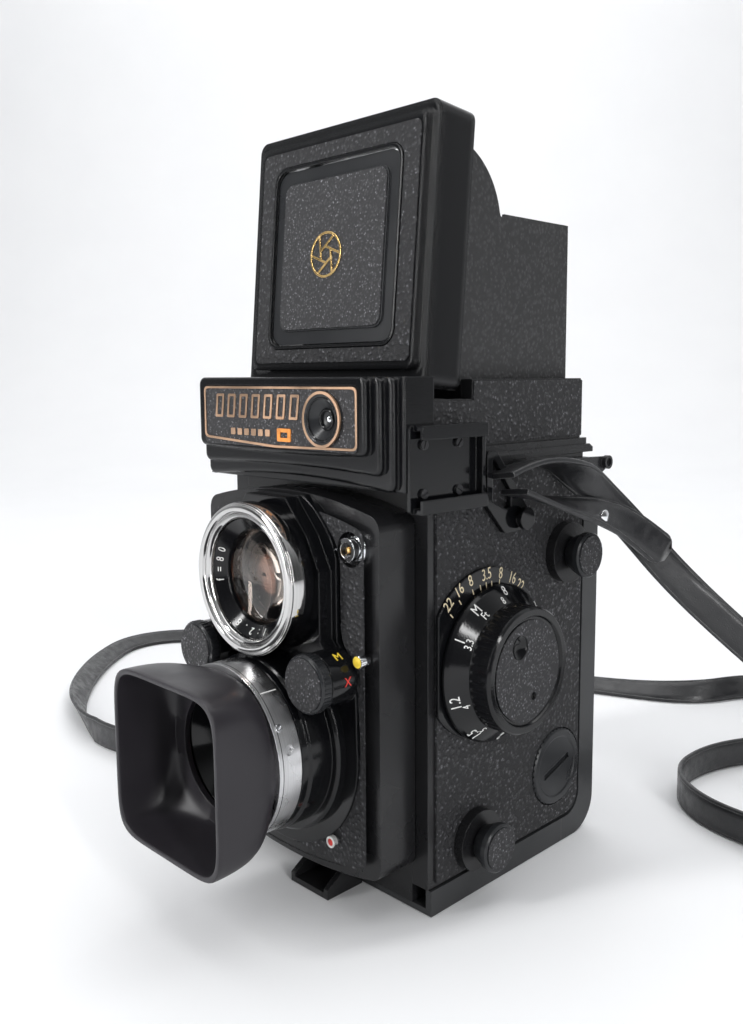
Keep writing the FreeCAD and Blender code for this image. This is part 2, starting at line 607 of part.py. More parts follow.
def crank_handle():
    y, z = CRANK
    grip = turned_x([(1.6, SIDE + 5.5), (3.6, SIDE + 5.5), (4.4, SIDE + 7.0), (4.4, SIDE + 9.6),
                     (3.6, SIDE + 10.4), (0, SIDE + 10.4), (0, SIDE + 9.9), (1.6, SIDE + 9.9)], y - 26.0, z)
    return mirrored(grip)


# ---- lens panel ---------------------------------------------------------------------------
def front_panel():
    """The moving lens panel: a shallow pan with four guide rods."""
    outer = arch(PANEL_HALF, 12.8, 8.6, 103.6, 108.4, PANEL_FRONT, PANEL_BACK)
    outer = rounded(outer, "y", 4.0)
    inner = arch(PANEL_HALF - 1.6, 14.4, 10.2, 102.0, 106.8, PANEL_FRONT + 1.6, PANEL_BACK + 1)
    pan = outer.cut(rounded(inner, "y", 3.0))
    rods = [rod("y", (x, z), 1.8, PANEL_FRONT + 1.5, -24.0) for x in (-29.0, 29.0) for z in (37.0, 56.0)]
    collar = ring("y", (-27.0, 18.5), 5.4, 3.5, PANEL_FRONT - 1.8, PANEL_FRONT + 0.1)
    pan = fused(pan, collar, *rods)
    holes = [rod("y", (0, TAKE_Z), TUBE_R, -60, PANEL_FRONT + 5), rod("y", (0, VIEW_Z), TUBE_R, -60,
             PANEL_FRONT + 5), rod("y", (-27.0, 18.5), 3.5, -60, PANEL_FRONT + 5)]
    return pan.cut(Part.makeCompound(holes))


def escutcheon():
    """The figure of eight plate and the faceted shield in front of it."""
    lower = rod("y", (0, TAKE_Z), 29.3, PANEL_FRONT, PLATE_FRONT)
    upper = rod("y", (0, VIEW_Z), 23.2, PANEL_FRONT, PLATE_FRONT)
    upper = upper.common(block(-22.2, 22.2, -60, 0, 60, 120))
    waist = prism("y", [(-29.2, 44), (29.2, 44), (28.8, 61), (26.2, 68.6), (22.2, 72.4), (22.2, 88),
                        (-22.2, 88), (-22.2, 72.4), (-26.2, 68.6), (-28.8, 61)], PANEL_FRONT, PLATE_FRONT)
    crown = [(-8, 107.4), (8, 107.4), (16, 98.4), (20.4, 90), (20.4, 73), (23.5, 69.4), (23.5, 60),
             (-23.5, 60), (-23.5, 69.4), (-20.4, 73), (-20.4, 90), (-16, 98.4)]
    shield = prism("y", crown, PLATE_FRONT, SHIELD_FRONT)
    lobes = [rod("y", (side * DIAL[0], DIAL[1]), 7.0, PLATE_FRONT, DIAL_BACK + 0.4) for side in (-1, 1)]
    shield = fused(shield, *lobes).cut(rod("y", (0, TAKE_Z), 25.5, -60, PLATE_FRONT))
    solid = fused(lower, upper, waist, shield).common(block(-40, 40, -60, 0, 0, 107.8))
    lever_way = ring("y", (0, TAKE_Z), 44.0, 26.6, PANEL_FRONT - 1.4, PANEL_FRONT + 1)
    fan = prism("y", [(0, TAKE_Z), (60, TAKE_Z + 16), (60, TAKE_Z + 64)], PANEL_FRONT - 2, PANEL_FRONT + 1)
    low_fan = prism("y", [(0, TAKE_Z), (42, TAKE_Z - 42), (4, TAKE_Z - 62), (-16, TAKE_Z - 52)],
                    PANEL_FRONT - 2, PANEL_FRONT + 1)
    cuts = [lever_way.common(fan), lever_way.common(low_fan),
            rod("y", (0, TAKE_Z), TUBE_R, -60, 0), rod("y", (0, VIEW_Z), TUBE_R, -60, 0)]
    for side in (-1, 1):
        cuts.append(rod("y", (side * DIAL[0], DIAL[1]), 1.6, -60, 0))
    return solid.cut(Part.makeCompound(cuts))


def viewing_lens_barrel():
    front = CLAMP_BACK
    profile = [(TUBE_R, TUBE_REAR), (TUBE_R, SHIELD_FRONT), (18.6, SHIELD_FRONT), (18.6, front + 3.4),
               (RING_R, front + 3.0), (RING_R, front + 0.5), (RING_R - 0.5, front), (17.6, front),
               (16.8, front + 1.0), (12.4, front + 4.6), (12.4, front + 9.4), (14.6, front + 9.4),
               (14.6, TUBE_REAR)]
    return turned(profile, 0, VIEW_Z)


def viewing_lens_glass():
    return lens(0, VIEW_Z, 12.4, CLAMP_BACK + 4.2, CLAMP_BACK + 9.3, 1.6)


def taking_lens_barrel():
    profile = [(TUBE_R, TUBE_REAR), (TUBE_R, PLATE_FRONT), (25.3, PLATE_FRONT), (25.3, -53.6), (24.6, -54.2),
               (23.0, -54.2), (23.0, -60.6), (22.4, -61.2), (22.4, CLAMP_BACK + 0.3),
               (19.0, CLAMP_BACK + 0.3), (19.0, CLAMP_FRONT + 1.0), (16.4, CLAMP_FRONT + 1.0),
               (11.6, -62.0), (11.6, -55.0), (14.6, -55.0), (14.6, TUBE_REAR)]
    return turned(profile, 0, TAKE_Z)


def taking_lens_glass():
    return lens(0, TAKE_Z, 11.6, -62.2, -55.4, 1.8)


def shade_clamp_ring():
    body = ring("y", (0, TAKE_Z), CLAMP_R, 19.05, CLAMP_FRONT, CLAMP_BACK)
    screw = rod("x", (-66.8, TAKE_Z), 1.1, 19.0, 21.9)
    screw.rotate(Vector(0, 0, TAKE_Z), Vector(0, 1, 0), -14)
    hole = rod("x", (-66.8, TAKE_Z), 1.2, 21.9, 24)
    hole.rotate(Vector(0, 0, TAKE_Z), Vector(0, 1, 0), -14)
    return body.cut(hole)


def rounded_square(y, half, radius):
    """A wire of four sides and four corner arcs about the taking lens axis."""
    edges = []
    flat = half - radius
    for n in range(4):
        def spot(x, z):
            turn = math.radians(90 * n)
            u = x * math.cos(turn) - z * math.sin(turn)
            w = x * math.sin(turn) + z * math.cos(turn)
            return Vector(u, y, TAKE_Z + w)
        slant = radius * math.sqrt(0.5)
        edges.append(Part.makeLine(spot(half, -flat), spot(half, flat)))
        edges.append(Part.Arc(spot(half, flat), spot(flat + slant, flat + slant), spot(flat, half)).toShape())
    return Part.Wire(edges)


def lens_shade():
    """A hood that flares from a round root to a rounded square mouth."""
    wall = 1.3
    root = 21.0
    outer = Part.makeLoft([rounded_square(CLAMP_FRONT, root, root - 2.0),
                           rounded_square(SHADE_FRONT, SHADE_HALF, 7.5)], True, True)
    inner = Part.makeLoft([rounded_square(CLAMP_FRONT - 1.6, root - wall, root - wall - 2.0),
                           rounded_square(SHADE_FRONT - 0.01, SHADE_HALF - wall, 6.2)], True, True)
    shell = outer.cut(inner)
    return shell.cut(rod("y", (0, TAKE_Z), 15.5, CLAMP_FRONT - 5, CLAMP_FRONT + 5))


def exposure_dial(side):
    """A dial with a leather faced disc on a pin."""
    x, z = side * DIAL[0], DIAL[1]
    front = DIAL_BACK - 3.0
    head = turned([(0, front), (6.7, front), (7.2, front + 0.5), (7.2, DIAL_BACK), (0, DIAL_BACK)], x, z)
    pin = rod("y", (x, z), 1.5, DIAL_BACK - 0.1, PANEL_FRONT - 1.6)
    return fused(head, pin)


def flash_sync_socket():
    x, z = 26.4, 95.9
    flange = ring("y", (x, z), 4.1, 1.9, PANEL_FRONT, PANEL_FRONT - 0.8)
    collar = ring("y", (x, z), 3.0, 1.9, PANEL_FRONT - 0.7, PANEL_FRONT - 3.4)
    floor = rod("y", (x, z), 1.95, PANEL_FRONT, PANEL_FRONT - 0.8)
    contact = rod("y", (x, z), 0.6, PANEL_FRONT - 0.7, PANEL_FRONT - 2.8)
    return fused(flange, collar, floor, contact)


def swing_lever(radius, turn, tip_r):
    """A thin lever about the taking lens axis, with a round tip in front of the panel."""
    y0 = PANEL_FRONT - 1.1
    arm = block(27.2, radius, y0, PANEL_FRONT - 0.3, TAKE_Z - 1.2, TAKE_Z + 1.2)
    tip = rod("y", (radius, TAKE_Z), tip_r, PANEL_FRONT - 4.2, PANEL_FRONT - 2.4)
    stem = rod("y", (radius, TAKE_Z), 0.9, PANEL_FRONT - 2.5, PANEL_FRONT - 0.3)
    lever = fused(arm, tip, stem)
    lever.rotate(Vector(0, 0, TAKE_Z), Vector(0, 1, 0), -turn)
    return lever


def release_button():
    x, z = -27.0, 18.5
    head = turned([(0, PANEL_FRONT - 4.6), (2.4, PANEL_FRONT - 4.6), (3.2, PANEL_FRONT - 4.0),
                   (3.2, PANEL_FRONT + 3.0), (0, PANEL_FRONT + 3.0)], x, z)
    return head.cut(rod("y", (x, z), 1.1, PANEL_FRONT - 6, PANEL_FRONT - 1))


# ---- neck strap ---------------------------------------------------------------------------
# The strap leaves the clip on the focus knob side, falls to the table beside the camera, turns
# back on itself, runs behind the camera, turns again on the crank side and rises to its clip.
STRAP_ROUTE = [
    (43.4, -14.0, 112.2),
    (44.8, 0.5, 116.8),
    (46.8, 17.0, 110.4),
    (50.6, 33.0, 97.6),
    (59.0, 48.0, 79.0),
    (74.0, 60.0, 61.0),
    (91.0, 73.0, 43.0),
    (108.0, 85.5, 24.0),
    (125.2, 98.0, 10.0),
    (145.3, 97.3, 5.4),
    (161.0, 84.5, 5.0),
    (166.6, 65.1, 5.0),
    (160.0, 46.0, 5.0),
    (146.0, 34.6, 5.0),
    (127.0, 32.5, 5.0),
    (108.5, 42.5, 5.0),
    (88.0, 56.5, 5.0),
    (64.0, 59.0, 5.0),
    (47.0, 74.0, 5.0),
    (46.0, 98.0, 5.0),
    (56.0, 120.0, 5.0),
    (79.1, 144.1, 5.0),
    (83.3, 163.6, 5.0),
    (76.3, 182.3, 5.0),
    (60.2, 194.2, 5.0),
    (40.3, 195.5, 5.0),
    (22.8, 185.9, 5.0),
    (10.0, 161.0, 4.4),
    (-20.0, 149.0, 2.6),
    (-66.0, 134.0, 2.4),
    (-112.0, 114.0, 2.4),
    (-158.0, 99.0, 2.4),
    (-202.0, 83.0, 2.4),
    (-231.0, 68.0, 2.4),
    (-240.0, 42.0, 2.4),
    (-221.0, 15.0, 2.6),
    (-193.0, -10.0, 3.4),
    (-164.0, -28.0, 4.4),
    (-132.0, -38.0, 5.0),
    (-105.0, -35.0, 5.6),
    (-83.0, -26.0, 12.0),
    (-69.0, -18.0, 30.0),
    (-61.0, -14.0, 54.0),
    (-57.0, -12.0, 78.0),
    (-53.0, -11.0, 98.0),
    (-44.2, -10.0, 110.6),
]


def neck_strap():
    """Straight runs joined by tangent arcs, each arc as large as its runs allow."""
    points = [Vector(*point) for point in STRAP_ROUTE]
    edges = []
    radii = []
    length = 0.0
    start = points[0]
    for before, corner, after in zip(points, points[1:], points[2:]):
        back = (before - corner).normalize()
        ahead = (after - corner).normalize()
        turn = math.pi - back.getAngle(ahead)
        run = min((before - corner).Length, (after - corner).Length)
        tangent = 0.45 * run
        radius = tangent / math.tan(turn / 2)
        first = corner + back * tangent
        last = corner + ahead * tangent
        bisector = (back + ahead).normalize()
        middle = corner + bisector * (radius / math.cos(turn / 2) - radius)
        edges.append(Part.makeLine(start, first))
        edges.append(Part.Arc(first, middle, last).toShape())
        length += (first - start).Length + radius * turn
        radii.append(radius)
        start = last
    edges.append(Part.makeLine(start, points[-1]))
    length += (points[-1] - start).Length
    wire = Part.Wire(edges)
    ahead = (points[1] - points[0]).normalize()
    section = Part.Wire([Part.makeCircle(STRAP_CORE_R, points[0], ahead)])
    tube = wire.makePipeShell([section], True, True)
    ratio = tube.Volume / (math.pi * STRAP_CORE_R ** 2 * length)
    print("strap length", round(length, 1), "volume ratio", round(ratio, 4))
    print("strap radii", [round(radius, 1) for radius in radii])
    return tube


def band(route, facing, across):
    """A piece of flat strap whose section keeps its facing while it follows a route."""
    half_thick = facing * (STRAP_THICK / 2)
    half_wide = across * (STRAP_WIDTH / 2)
    wires = []
    for point in route:
        centre = Vector(*point)
        corners = [centre - half_thick - half_wide, centre + half_thick - half_wide,
                   centre + half_thick + half_wide, centre - half_thick + half_wide]
        wires.append(Part.makePolygon(corners + corners[:1]))
    return Part.makeLoft(wires, True, True)


def strap_ends():
    """The doubled back free end at each clip, with the stud that holds the right one."""
    right = band([(47.0, -11.0, 108.6), (48.6, 4.0, 104.4), (51.6, 20.0, 101.6), (55.0, 33.0, 95.6),
                  (60.8, 41.2, 86.0)], Vector(0.96, -0.28, 0), Vector(0, 0, 1))
    stud = rod("x", (19.0, 98.8), 2.0, 52.2, 53.2)
    left = band([(-48.4, -10.5, 110.0), (-56.0, -10.5, 100.4)], Vector(-0.78, 0, 0.62), Vector(0, 1, 0))
    return Part.makeCompound([right, stud, left])


def main():
    os.makedirs("parts", exist_ok=True)
    save("body_casting", body_casting())
    save("side_cover_right", side_cover(True))
    save("side_cover_left", side_cover(False))
    save("leatherette_right", leatherette(True))
    save("leatherette_left", leatherette(False))
    save("front_foot", front_foot())
    save("back_door", back_door())
    save("tripod_socket", tripod_socket())
    save("door_lock_dial", door_lock_dial())
    save("door_latch", door_latch())
    save("door_hinge", door_hinge())
    save("pressure_plate", pressure_plate())
    save("supply_spool", spool(SUPPLY))
    save("takeup_spool", spool(TAKEUP))
    save("film_roller_lower", film_roller(31.6, 11.2))
    save("film_roller_upper", film_roller(31.6, 76.0))
    save("spool_knob_lower", spool_knob(SUPPLY, 48.2))
    save("spool_knob_upper", spool_knob(TAKEUP, 48.2))
    save("spool_bosses", spool_bosses())
    save("reflex_mirror", reflex_mirror())
    save("focusing_screen", focusing_screen())
    save("hood_base", hood_base())
    save("hood_lid", hood_lid())
    save("sports_flap", sports_flap())
    save("magnifier_arm", magnifier_arm())
    save("magnifier_lens", magnifier_lens())
    save("hood_side_right", hood_side(True))
    save("hood_side_left", hood_side(False))
    save("hood_back", hood_back())
    save("nameplate_housing", nameplate_housing())
    save("nameplate", nameplate())
    save("meter_cell_window", meter_cell_window())
    save("meter_window", slab("z", -19, 19, -46.4, -38.6, HOUSING_TOP - 1.5, HOUSING_TOP - 0.2, 1.0))
    save("meter_needle", meter_needle())
    save("accessory_shoe", accessory_shoe())
    save("strap_lugs", strap_lugs())
    save("battery_cover", battery_cover())
    save("battery", battery())
    save("focus_knob", focus_knob())
    save("focus_shaft", focus_shaft())
    save("depth_scale", depth_scale())
    save("crank_plate", crank_plate())
    save("crank_arm", crank_arm())
    save("crank_handle", crank_handle())
    save("front_panel", front_panel())
    save("escutcheon", escutcheon())
    save("viewing_lens_barrel", viewing_lens_barrel())
    save("viewing_lens_glass", viewing_lens_glass())
    save("taking_lens_barrel", taking_lens_barrel())
    save("taking_lens_glass", taking_lens_glass())
    save("shade_clamp_ring", shade_clamp_ring())
    save("lens_shade", lens_shade())
    save("speed_dial", exposure_dial(-1))
    save("aperture_dial", exposure_dial(1))
    save("flash_sync_socket", flash_sync_socket())
    save("sync_lever", swing_lever(40.2, 40.0, 1.7))
    save("self_timer_lever", swing_lever(31.0, -49.0, 1.5))
    save("release_button", release_button())
    save("neck_strap", neck_strap())
    save("strap_ends", strap_ends())


main()
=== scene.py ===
from math import atan2, cos, degrees, pi, radians, sin, sqrt

import bmesh
import bpy
from mathutils import Matrix, Vector


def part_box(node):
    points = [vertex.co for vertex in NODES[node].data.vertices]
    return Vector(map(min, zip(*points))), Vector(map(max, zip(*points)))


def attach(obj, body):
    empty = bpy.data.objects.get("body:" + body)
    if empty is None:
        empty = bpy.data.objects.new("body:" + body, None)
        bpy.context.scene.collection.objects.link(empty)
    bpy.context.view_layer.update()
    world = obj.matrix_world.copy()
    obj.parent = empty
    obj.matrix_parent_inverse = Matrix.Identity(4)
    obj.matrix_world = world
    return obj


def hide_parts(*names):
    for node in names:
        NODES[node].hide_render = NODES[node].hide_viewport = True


# Looks of a black twin lens reflex camera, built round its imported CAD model.
# Sizes are in millimetres unless a name says otherwise; Blender's own unit is the metre.
# +X is the focus knob side, -Y is where the lenses look, +Z is up.

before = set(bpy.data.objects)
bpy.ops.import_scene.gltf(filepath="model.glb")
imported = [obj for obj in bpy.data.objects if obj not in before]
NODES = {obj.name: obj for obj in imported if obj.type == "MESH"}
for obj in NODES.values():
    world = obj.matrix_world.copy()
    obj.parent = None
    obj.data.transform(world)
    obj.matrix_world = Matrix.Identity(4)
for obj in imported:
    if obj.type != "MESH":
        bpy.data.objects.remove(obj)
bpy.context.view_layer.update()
MM = 0.001
X = Vector((1, 0, 0))
Y = Vector((0, 1, 0))
Z = Vector((0, 0, 1))


# ---- sizes, most of them read from the CAD nodes ----
def low(node, axis):
    """Lowest coordinate of a CAD node, in millimetres."""
    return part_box(node)[0]["xyz".index(axis)] / MM


def high(node, axis):
    """Highest coordinate of a CAD node, in millimetres."""
    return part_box(node)[1]["xyz".index(axis)] / MM


def spot_of(node, axes):
    """Middle of a CAD node's box along some axes, in millimetres."""
    return tuple((low(node, axis) + high(node, axis)) / 2 for axis in axes)


SIDE = high("leatherette_right", "x")
AXIS_VIEW = (0.0, *spot_of("viewing_lens_glass", "z"))
AXIS_TAKE = (0.0, *spot_of("taking_lens_glass", "z"))
RING_FRONT = low("viewing_lens_barrel", "y")
PANEL_HALF = high("front_panel", "x")
DIAL_X, DIAL_Z = spot_of("aperture_dial", "xz")
DIAL_FRONT = low("aperture_dial", "y")
KNOB = spot_of("focus_knob", "yz")
KNOB_FACE = high("focus_knob", "x") - 0.7
SCALE_FACE = high("depth_scale", "x")
SOCKET = spot_of("flash_sync_socket", "xz")
LID_PIVOT = Vector((0, -31.0, 133.0)) * MM
LID_LEAN = radians(5.0)
LID_FACE = -33.1            # front of the upright lid before it leans
DOOR_REAR = 38.2
SHOE_FACE = SIDE + 1.3      # where the screws of the accessory shoe sit
ARM_FACE = SIDE + 1.5       # where the screws of the hinge arms sit
CLAMP_R = 22.4
LOBE_R = 7.0                # the round lobes of the plate behind the exposure dials
SCREEN_TOP = high("focusing_screen", "z")

STRAP_WIDTH = 9.8
STRAP_THICK = 1.5
VIEW_YAW = radians(44.94)


# ---- small geometry helpers ----
def axes_matrix(right, up, out, origin):
    """A matrix whose local x, y and z are right, up and out. The origin is in millimetres."""
    columns = Matrix((right, up, out)).transposed().to_4x4()
    return Matrix.Translation(Vector(origin) * MM) @ columns


def front(y):
    """A plane seen from -Y: local x is +X and local y is +Z."""
    return axes_matrix(X, Z, -Y, (0, y, 0))


def rear(y):
    """A plane seen from +Y: local x is -X and local y is +Z."""
    return axes_matrix(-X, Z, Y, (0, y, 0))


def right(x):
    """A plane seen from +X: local x is +Y and local y is +Z."""
    return axes_matrix(Y, Z, X, (x, 0, 0))


def left(x):
    """A plane seen from -X: local x is -Y and local y is +Z."""
    return axes_matrix(-Y, Z, -X, (x, 0, 0))


def top(z):
    """A plane seen from above."""
    return axes_matrix(X, Y, Z, (0, 0, z))


def leaned(matrix):
    """The same plane on the lid, which leans back about its hinge."""
    turn = Matrix.Rotation(-LID_LEAN, 4, "X")
    return Matrix.Translation(LID_PIVOT) @ turn @ Matrix.Translation(-LID_PIVOT) @ matrix


def round_the(axis, centre, radius, station, angle, slope=0.0):
    """A spot on a cone round an axis, its local y pointing away from the axis.

    Axis "x" is seen from +X and "y" from -Y. slope tips local y towards the viewer. Both angles
    are in degrees.
    """
    turn = radians(angle)
    tip = radians(slope)
    across, along, out = (Y, X, X) if axis == "x" else (X, Y, -Y)
    ray = across * cos(turn) + Z * sin(turn)
    up = ray * cos(tip) + out * sin(tip)
    normal = out * cos(tip) - ray * sin(tip)
    origin = across * centre[0] + along * station + Z * centre[1]
    return axes_matrix(up.cross(normal), up, normal, origin + ray * radius)


def on_barrel(centre, radius, station, angle):
    """A spot on a cylinder along y: local x points to the rear and local z away from the axis."""
    turn = radians(angle)
    ray = X * cos(turn) + Z * sin(turn)
    origin = X * centre[0] + Y * station + Z * centre[1]
    return axes_matrix(Y, ray.cross(Y), ray, origin + ray * radius)


def circle(centre, radius, count=64):
    """A round loop of points."""
    turns = [2 * pi * n / count for n in range(count)]
    return [(centre[0] + radius * cos(t), centre[1] + radius * sin(t)) for t in turns]


def rectangle(a0, a1, b0, b1, radius, steps=8):
    """A loop of points round a rectangle with round corners."""
    corners = [(a1 - radius, b1 - radius, 0), (a0 + radius, b1 - radius, 90),
               (a0 + radius, b0 + radius, 180), (a1 - radius, b0 + radius, 270)]
    points = []
    for a, b, start in corners:
        for n in range(steps + 1):
            turn = radians(start + 90 * n / steps)
            points.append((a + radius * cos(turn), b + radius * sin(turn)))
    return points


def softened(corners, radius, steps=5):
    """A polygon whose corners are rounded by small curves."""
    points = []
    count = len(corners)
    for n in range(count):
        here = Vector(corners[n])
        before = Vector(corners[n - 1]) - here
        after = Vector(corners[(n + 1) % count]) - here
        start = here + before.normalized() * min(radius, before.length * 0.45)
        end = here + after.normalized() * min(radius, after.length * 0.45)
        for k in range(steps + 1):
            t = k / steps
            point = start * (1 - t) ** 2 + here * 2 * t * (1 - t) + end * t ** 2
            points.append((point.x, point.y))
    return points


def bowed(half, low_side, low_mid, high_side, high_mid, radius):
    """The lens panel's outline: straight sides, bowed lower and upper edges, round corners."""
    count = 12
    corners = []
    for n in range(count + 1):
        share = 2 * n / count - 1
        corners.append((share * half, low_mid + (low_side - low_mid) * share * share))
    for n in range(count + 1):
        share = 1 - 2 * n / count
        corners.append((share * half, high_mid + (high_side - high_mid) * share * share))
    return softened(corners, radius)


def in_scene(name, data):
    """A new object in the scene for a mesh, curve, camera or light."""
    thing = bpy.data.objects.new(name, data)
    bpy.context.scene.collection.objects.link(thing)
    return thing


def evaluated(curve):
    """The mesh of a curve or text, which is then removed."""
    holder = in_scene("scratch", curve)
    graph = bpy.context.evaluated_depsgraph_get()
    mesh = bpy.data.meshes.new_from_object(holder.evaluated_get(graph))
    bpy.data.objects.remove(holder)
    bpy.data.curves.remove(curve)
    return mesh


def plate_mesh(loops, thickness, plane, soft=0.0):
    """A flat plate standing on a plane. The first loop is its outline and the others are holes."""
    curve = bpy.data.curves.new("plate", "CURVE")
    curve.dimensions = "2D"
    curve.fill_mode = "BOTH"
    curve.extrude = thickness / 2 - soft
    curve.bevel_depth = soft
    curve.offset = -soft
    curve.bevel_resolution = 1
    for loop in loops:
        spline = curve.splines.new("POLY")
        spline.points.add(len(loop) - 1)
        for point, (a, b) in zip(spline.points, loop):
            point.co = (a, b, 0, 1)
        spline.use_cyclic_u = True
    mesh = evaluated(curve)
    mesh.transform(plane @ Matrix.Scale(MM, 4) @ Matrix.Translation((0, 0, thickness / 2)))
    return mesh


def text_mesh(words, size, plane, depth=0.06, narrow=0.85):
    """Raised or painted characters, centred on a plane's origin."""
    curve = bpy.data.curves.new("words", "FONT")
    curve.body = words
    curve.size = size
    curve.extrude = depth / 2
    curve.align_x = "CENTER"
    curve.align_y = "CENTER"
    curve.resolution_u = 4
    mesh = evaluated(curve)
    squeeze = Matrix.Diagonal((narrow * MM, MM, MM, 1))
    mesh.transform(plane @ squeeze @ Matrix.Translation((0, 0, depth / 2)))
    return mesh


def ring_mesh(rings, around=True, onward=False, capped=False, weld=False):
    """Rings of points, in metres, joined in order.

    around closes each ring, onward joins the last ring to the first, capped fills both ends and
    weld joins points that meet.
    """
    form = bmesh.new()
    loops = [[form.verts.new(point) for point in ring] for ring in rings]
    count = len(rings[0])
    followers = loops[1:] + loops[:1] if onward else loops[1:]
    for here, there in zip(loops, followers):
        for k in range(count if around else count - 1):
            form.faces.new((here[k], here[(k + 1) % count], there[(k + 1) % count], there[k]))
    if capped:
        form.faces.new(loops[0])
        form.faces.new(loops[-1])
    if weld:
        bmesh.ops.remove_doubles(form, verts=form.verts, dist=1e-7)
    bmesh.ops.recalc_face_normals(form, faces=form.faces)
    mesh = bpy.data.meshes.new("rings")
    form.to_mesh(mesh)
    form.free()
    return mesh


def turned_mesh(profile, axis, centre, start, steps=96, closed=True):
    """A profile of (radius, distance from start) points turned about an x or y axis."""
    rings = []
    for n in range(steps):
        turn = 2 * pi * n / steps
        ring = []
        for radius, distance in profile:
            a = centre[0] + radius * cos(turn)
            b = centre[1] + radius * sin(turn)
            spot = (start + distance, a, b) if axis == "x" else (a, start + distance, b)
            ring.append(Vector(spot) * MM)
        rings.append(ring)
    return ring_mesh(rings, around=closed, onward=True, weld=True)


def squarish_mesh(stations, centre, steps=128):
    """Closed rings round a y axis, the last one joined to the first.

    Each station is (half width, y, squareness): a squareness of 2 is a circle and 6 a soft square.
    """
    rings = []
    for half, y, power in stations:
        ring = []
        for n in range(steps):
            turn = 2 * pi * n / steps
            a, b = cos(turn), sin(turn)
            reach = half / (abs(a) ** power + abs(b) ** power) ** (1 / power)
            ring.append(Vector((centre[0] + a * reach, y, centre[1] + b * reach)) * MM)
        rings.append(ring)
    return ring_mesh(rings, onward=True)


def merged(meshes):
    """Several meshes as one."""
    form = bmesh.new()
    for mesh in meshes:
        form.from_mesh(mesh)
        bpy.data.meshes.remove(mesh)
    mesh = bpy.data.meshes.new("merged")
    form.to_mesh(mesh)
    form.free()
    return mesh


def piece(name, mesh, body, finish, crease=35.0):
    """A piece with one of the finishes below, riding on a body."""
    thing = in_scene(name, mesh)
    mesh.materials.clear()
    mesh.materials.append(MATERIALS[finish])
    mesh.shade_smooth()
    mesh.set_sharp_from_angle(angle=radians(crease))
    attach(thing, body)
    return thing


def turned(name, profile, axis, centre, start, body, finish, steps=96, closed=True):
    """A piece turned about an axis. A profile that is not closed starts and ends near the axis."""
    return piece(name, turned_mesh(profile, axis, centre, start, steps, closed), body, finish)


def skin(name, loops, plane, body, finish="leather", thickness=0.4, soft=0.1):
    """A piece of leather on a plane, with holes where it is cut out."""
    piece(name, plate_mesh(loops, thickness, plane, soft), body, finish)


# ---- camera, strap route ----
def make_camera():
    """The viewpoint: to the right of the lenses and a little above them."""
    pitch = radians(7.14)
    roll = radians(-0.31)
    level_ahead = Vector((-sin(VIEW_YAW), cos(VIEW_YAW), 0))
    ahead = level_ahead * cos(pitch) - Z * sin(pitch)
    level = ahead.cross(Z).normalized()
    upright = level.cross(ahead)
    side = level * cos(roll) + upright * sin(roll)
    above = upright * cos(roll) - level * sin(roll)
    data = bpy.data.cameras.new("camera")
    settings = {"sensor_fit": "VERTICAL", "sensor_height": 36.0, "lens": 33.67, "shift_x": -0.0145,
                "shift_y": -0.0158, "clip_start": 0.01, "clip_end": 20.0}
    for label, value in settings.items():
        setattr(data, label, value)
    camera = in_scene("camera", data)
    camera.matrix_world = axes_matrix(side, above, -ahead, (193.63, -205.68, 137.55))
    bpy.context.scene.camera = camera


# The strap's route: from the right clip down to the table, back on itself, behind the
# camera, round on the crank side and up to the left clip.
STRAP_ROUTE = [
    (43.4, -14, 112.2), (44.8, 0.5, 116.8), (46.8, 17, 110.4), (50.6, 33, 97.6), (59, 48, 79),
    (74, 60, 61), (91, 73, 43), (108, 85.5, 24), (125.2, 98, 10), (145.3, 97.3, 5.4), (161, 84.5, 5),
    (166.6, 65.1, 5), (160, 46, 5), (146, 34.6, 5), (127, 32.5, 5), (108.5, 42.5, 5), (88, 56.5, 5),
    (64, 59, 5), (47, 74, 5), (46, 98, 5), (56, 120, 5), (79.1, 144.1, 5), (83.3, 163.6, 5),
    (76.3, 182.3, 5), (60.2, 194.2, 5), (40.3, 195.5, 5), (22.8, 185.9, 5), (10, 161, 4.4),
    (-20, 149, 2.6), (-66, 134, 2.4), (-112, 114, 2.4), (-158, 99, 2.4), (-202, 83, 2.4),
    (-231, 68, 2.4), (-240, 42, 2.4), (-221, 15, 2.6), (-193, -10, 3.4), (-164, -28, 4.4),
    (-132, -38, 5), (-105, -35, 5.6), (-83, -26, 12), (-69, -18, 30), (-61, -14, 54), (-57, -12, 78),
    (-53, -11, 98), (-44.2, -10, 110.6),
]


def spline_points(route):
    """The points, in metres, of one smooth curve that follows a route."""
    curve = bpy.data.curves.new("route", "CURVE")
    curve.dimensions = "3D"
    spline = curve.splines.new("NURBS")
    spline.points.add(len(route) - 1)
    for point, place in zip(spline.points, route):
        point.co = (*(Vector(place) * MM), 1)
    spline.order_u = 3
    spline.use_endpoint_u = True
    spline.resolution_u = 10
    mesh = evaluated(curve)
    points = [vertex.co.copy() for vertex in mesh.vertices]
    bpy.data.meshes.remove(mesh)
    return points


def smooth_step(value):
    """0 below 0, 1 above 1, and an even curve between them."""
    value = min(1.0, max(0.0, value))
    return value * value * (3 - 2 * value)


def strap_section():
    """Half width and half thickness shares round the strap, with a pressed line near each edge."""
    w = STRAP_WIDTH / 2 * MM
    t = STRAP_THICK / 2 * MM
    half = [(1.0, 0.0), (0.985, 0.6), (0.94, 0.95), (0.84, 1.0), (0.815, 0.86), (0.79, 1.0), (0.4, 1.02),
            (-0.4, 1.02), (-0.79, 1.0), (-0.815, 0.86), (-0.84, 1.0), (-0.94, 0.95), (-0.985, 0.6)]
    shape = half + [(-a, -b) for a, b in half]
    return [(a * w, b * t) for a, b in shape]


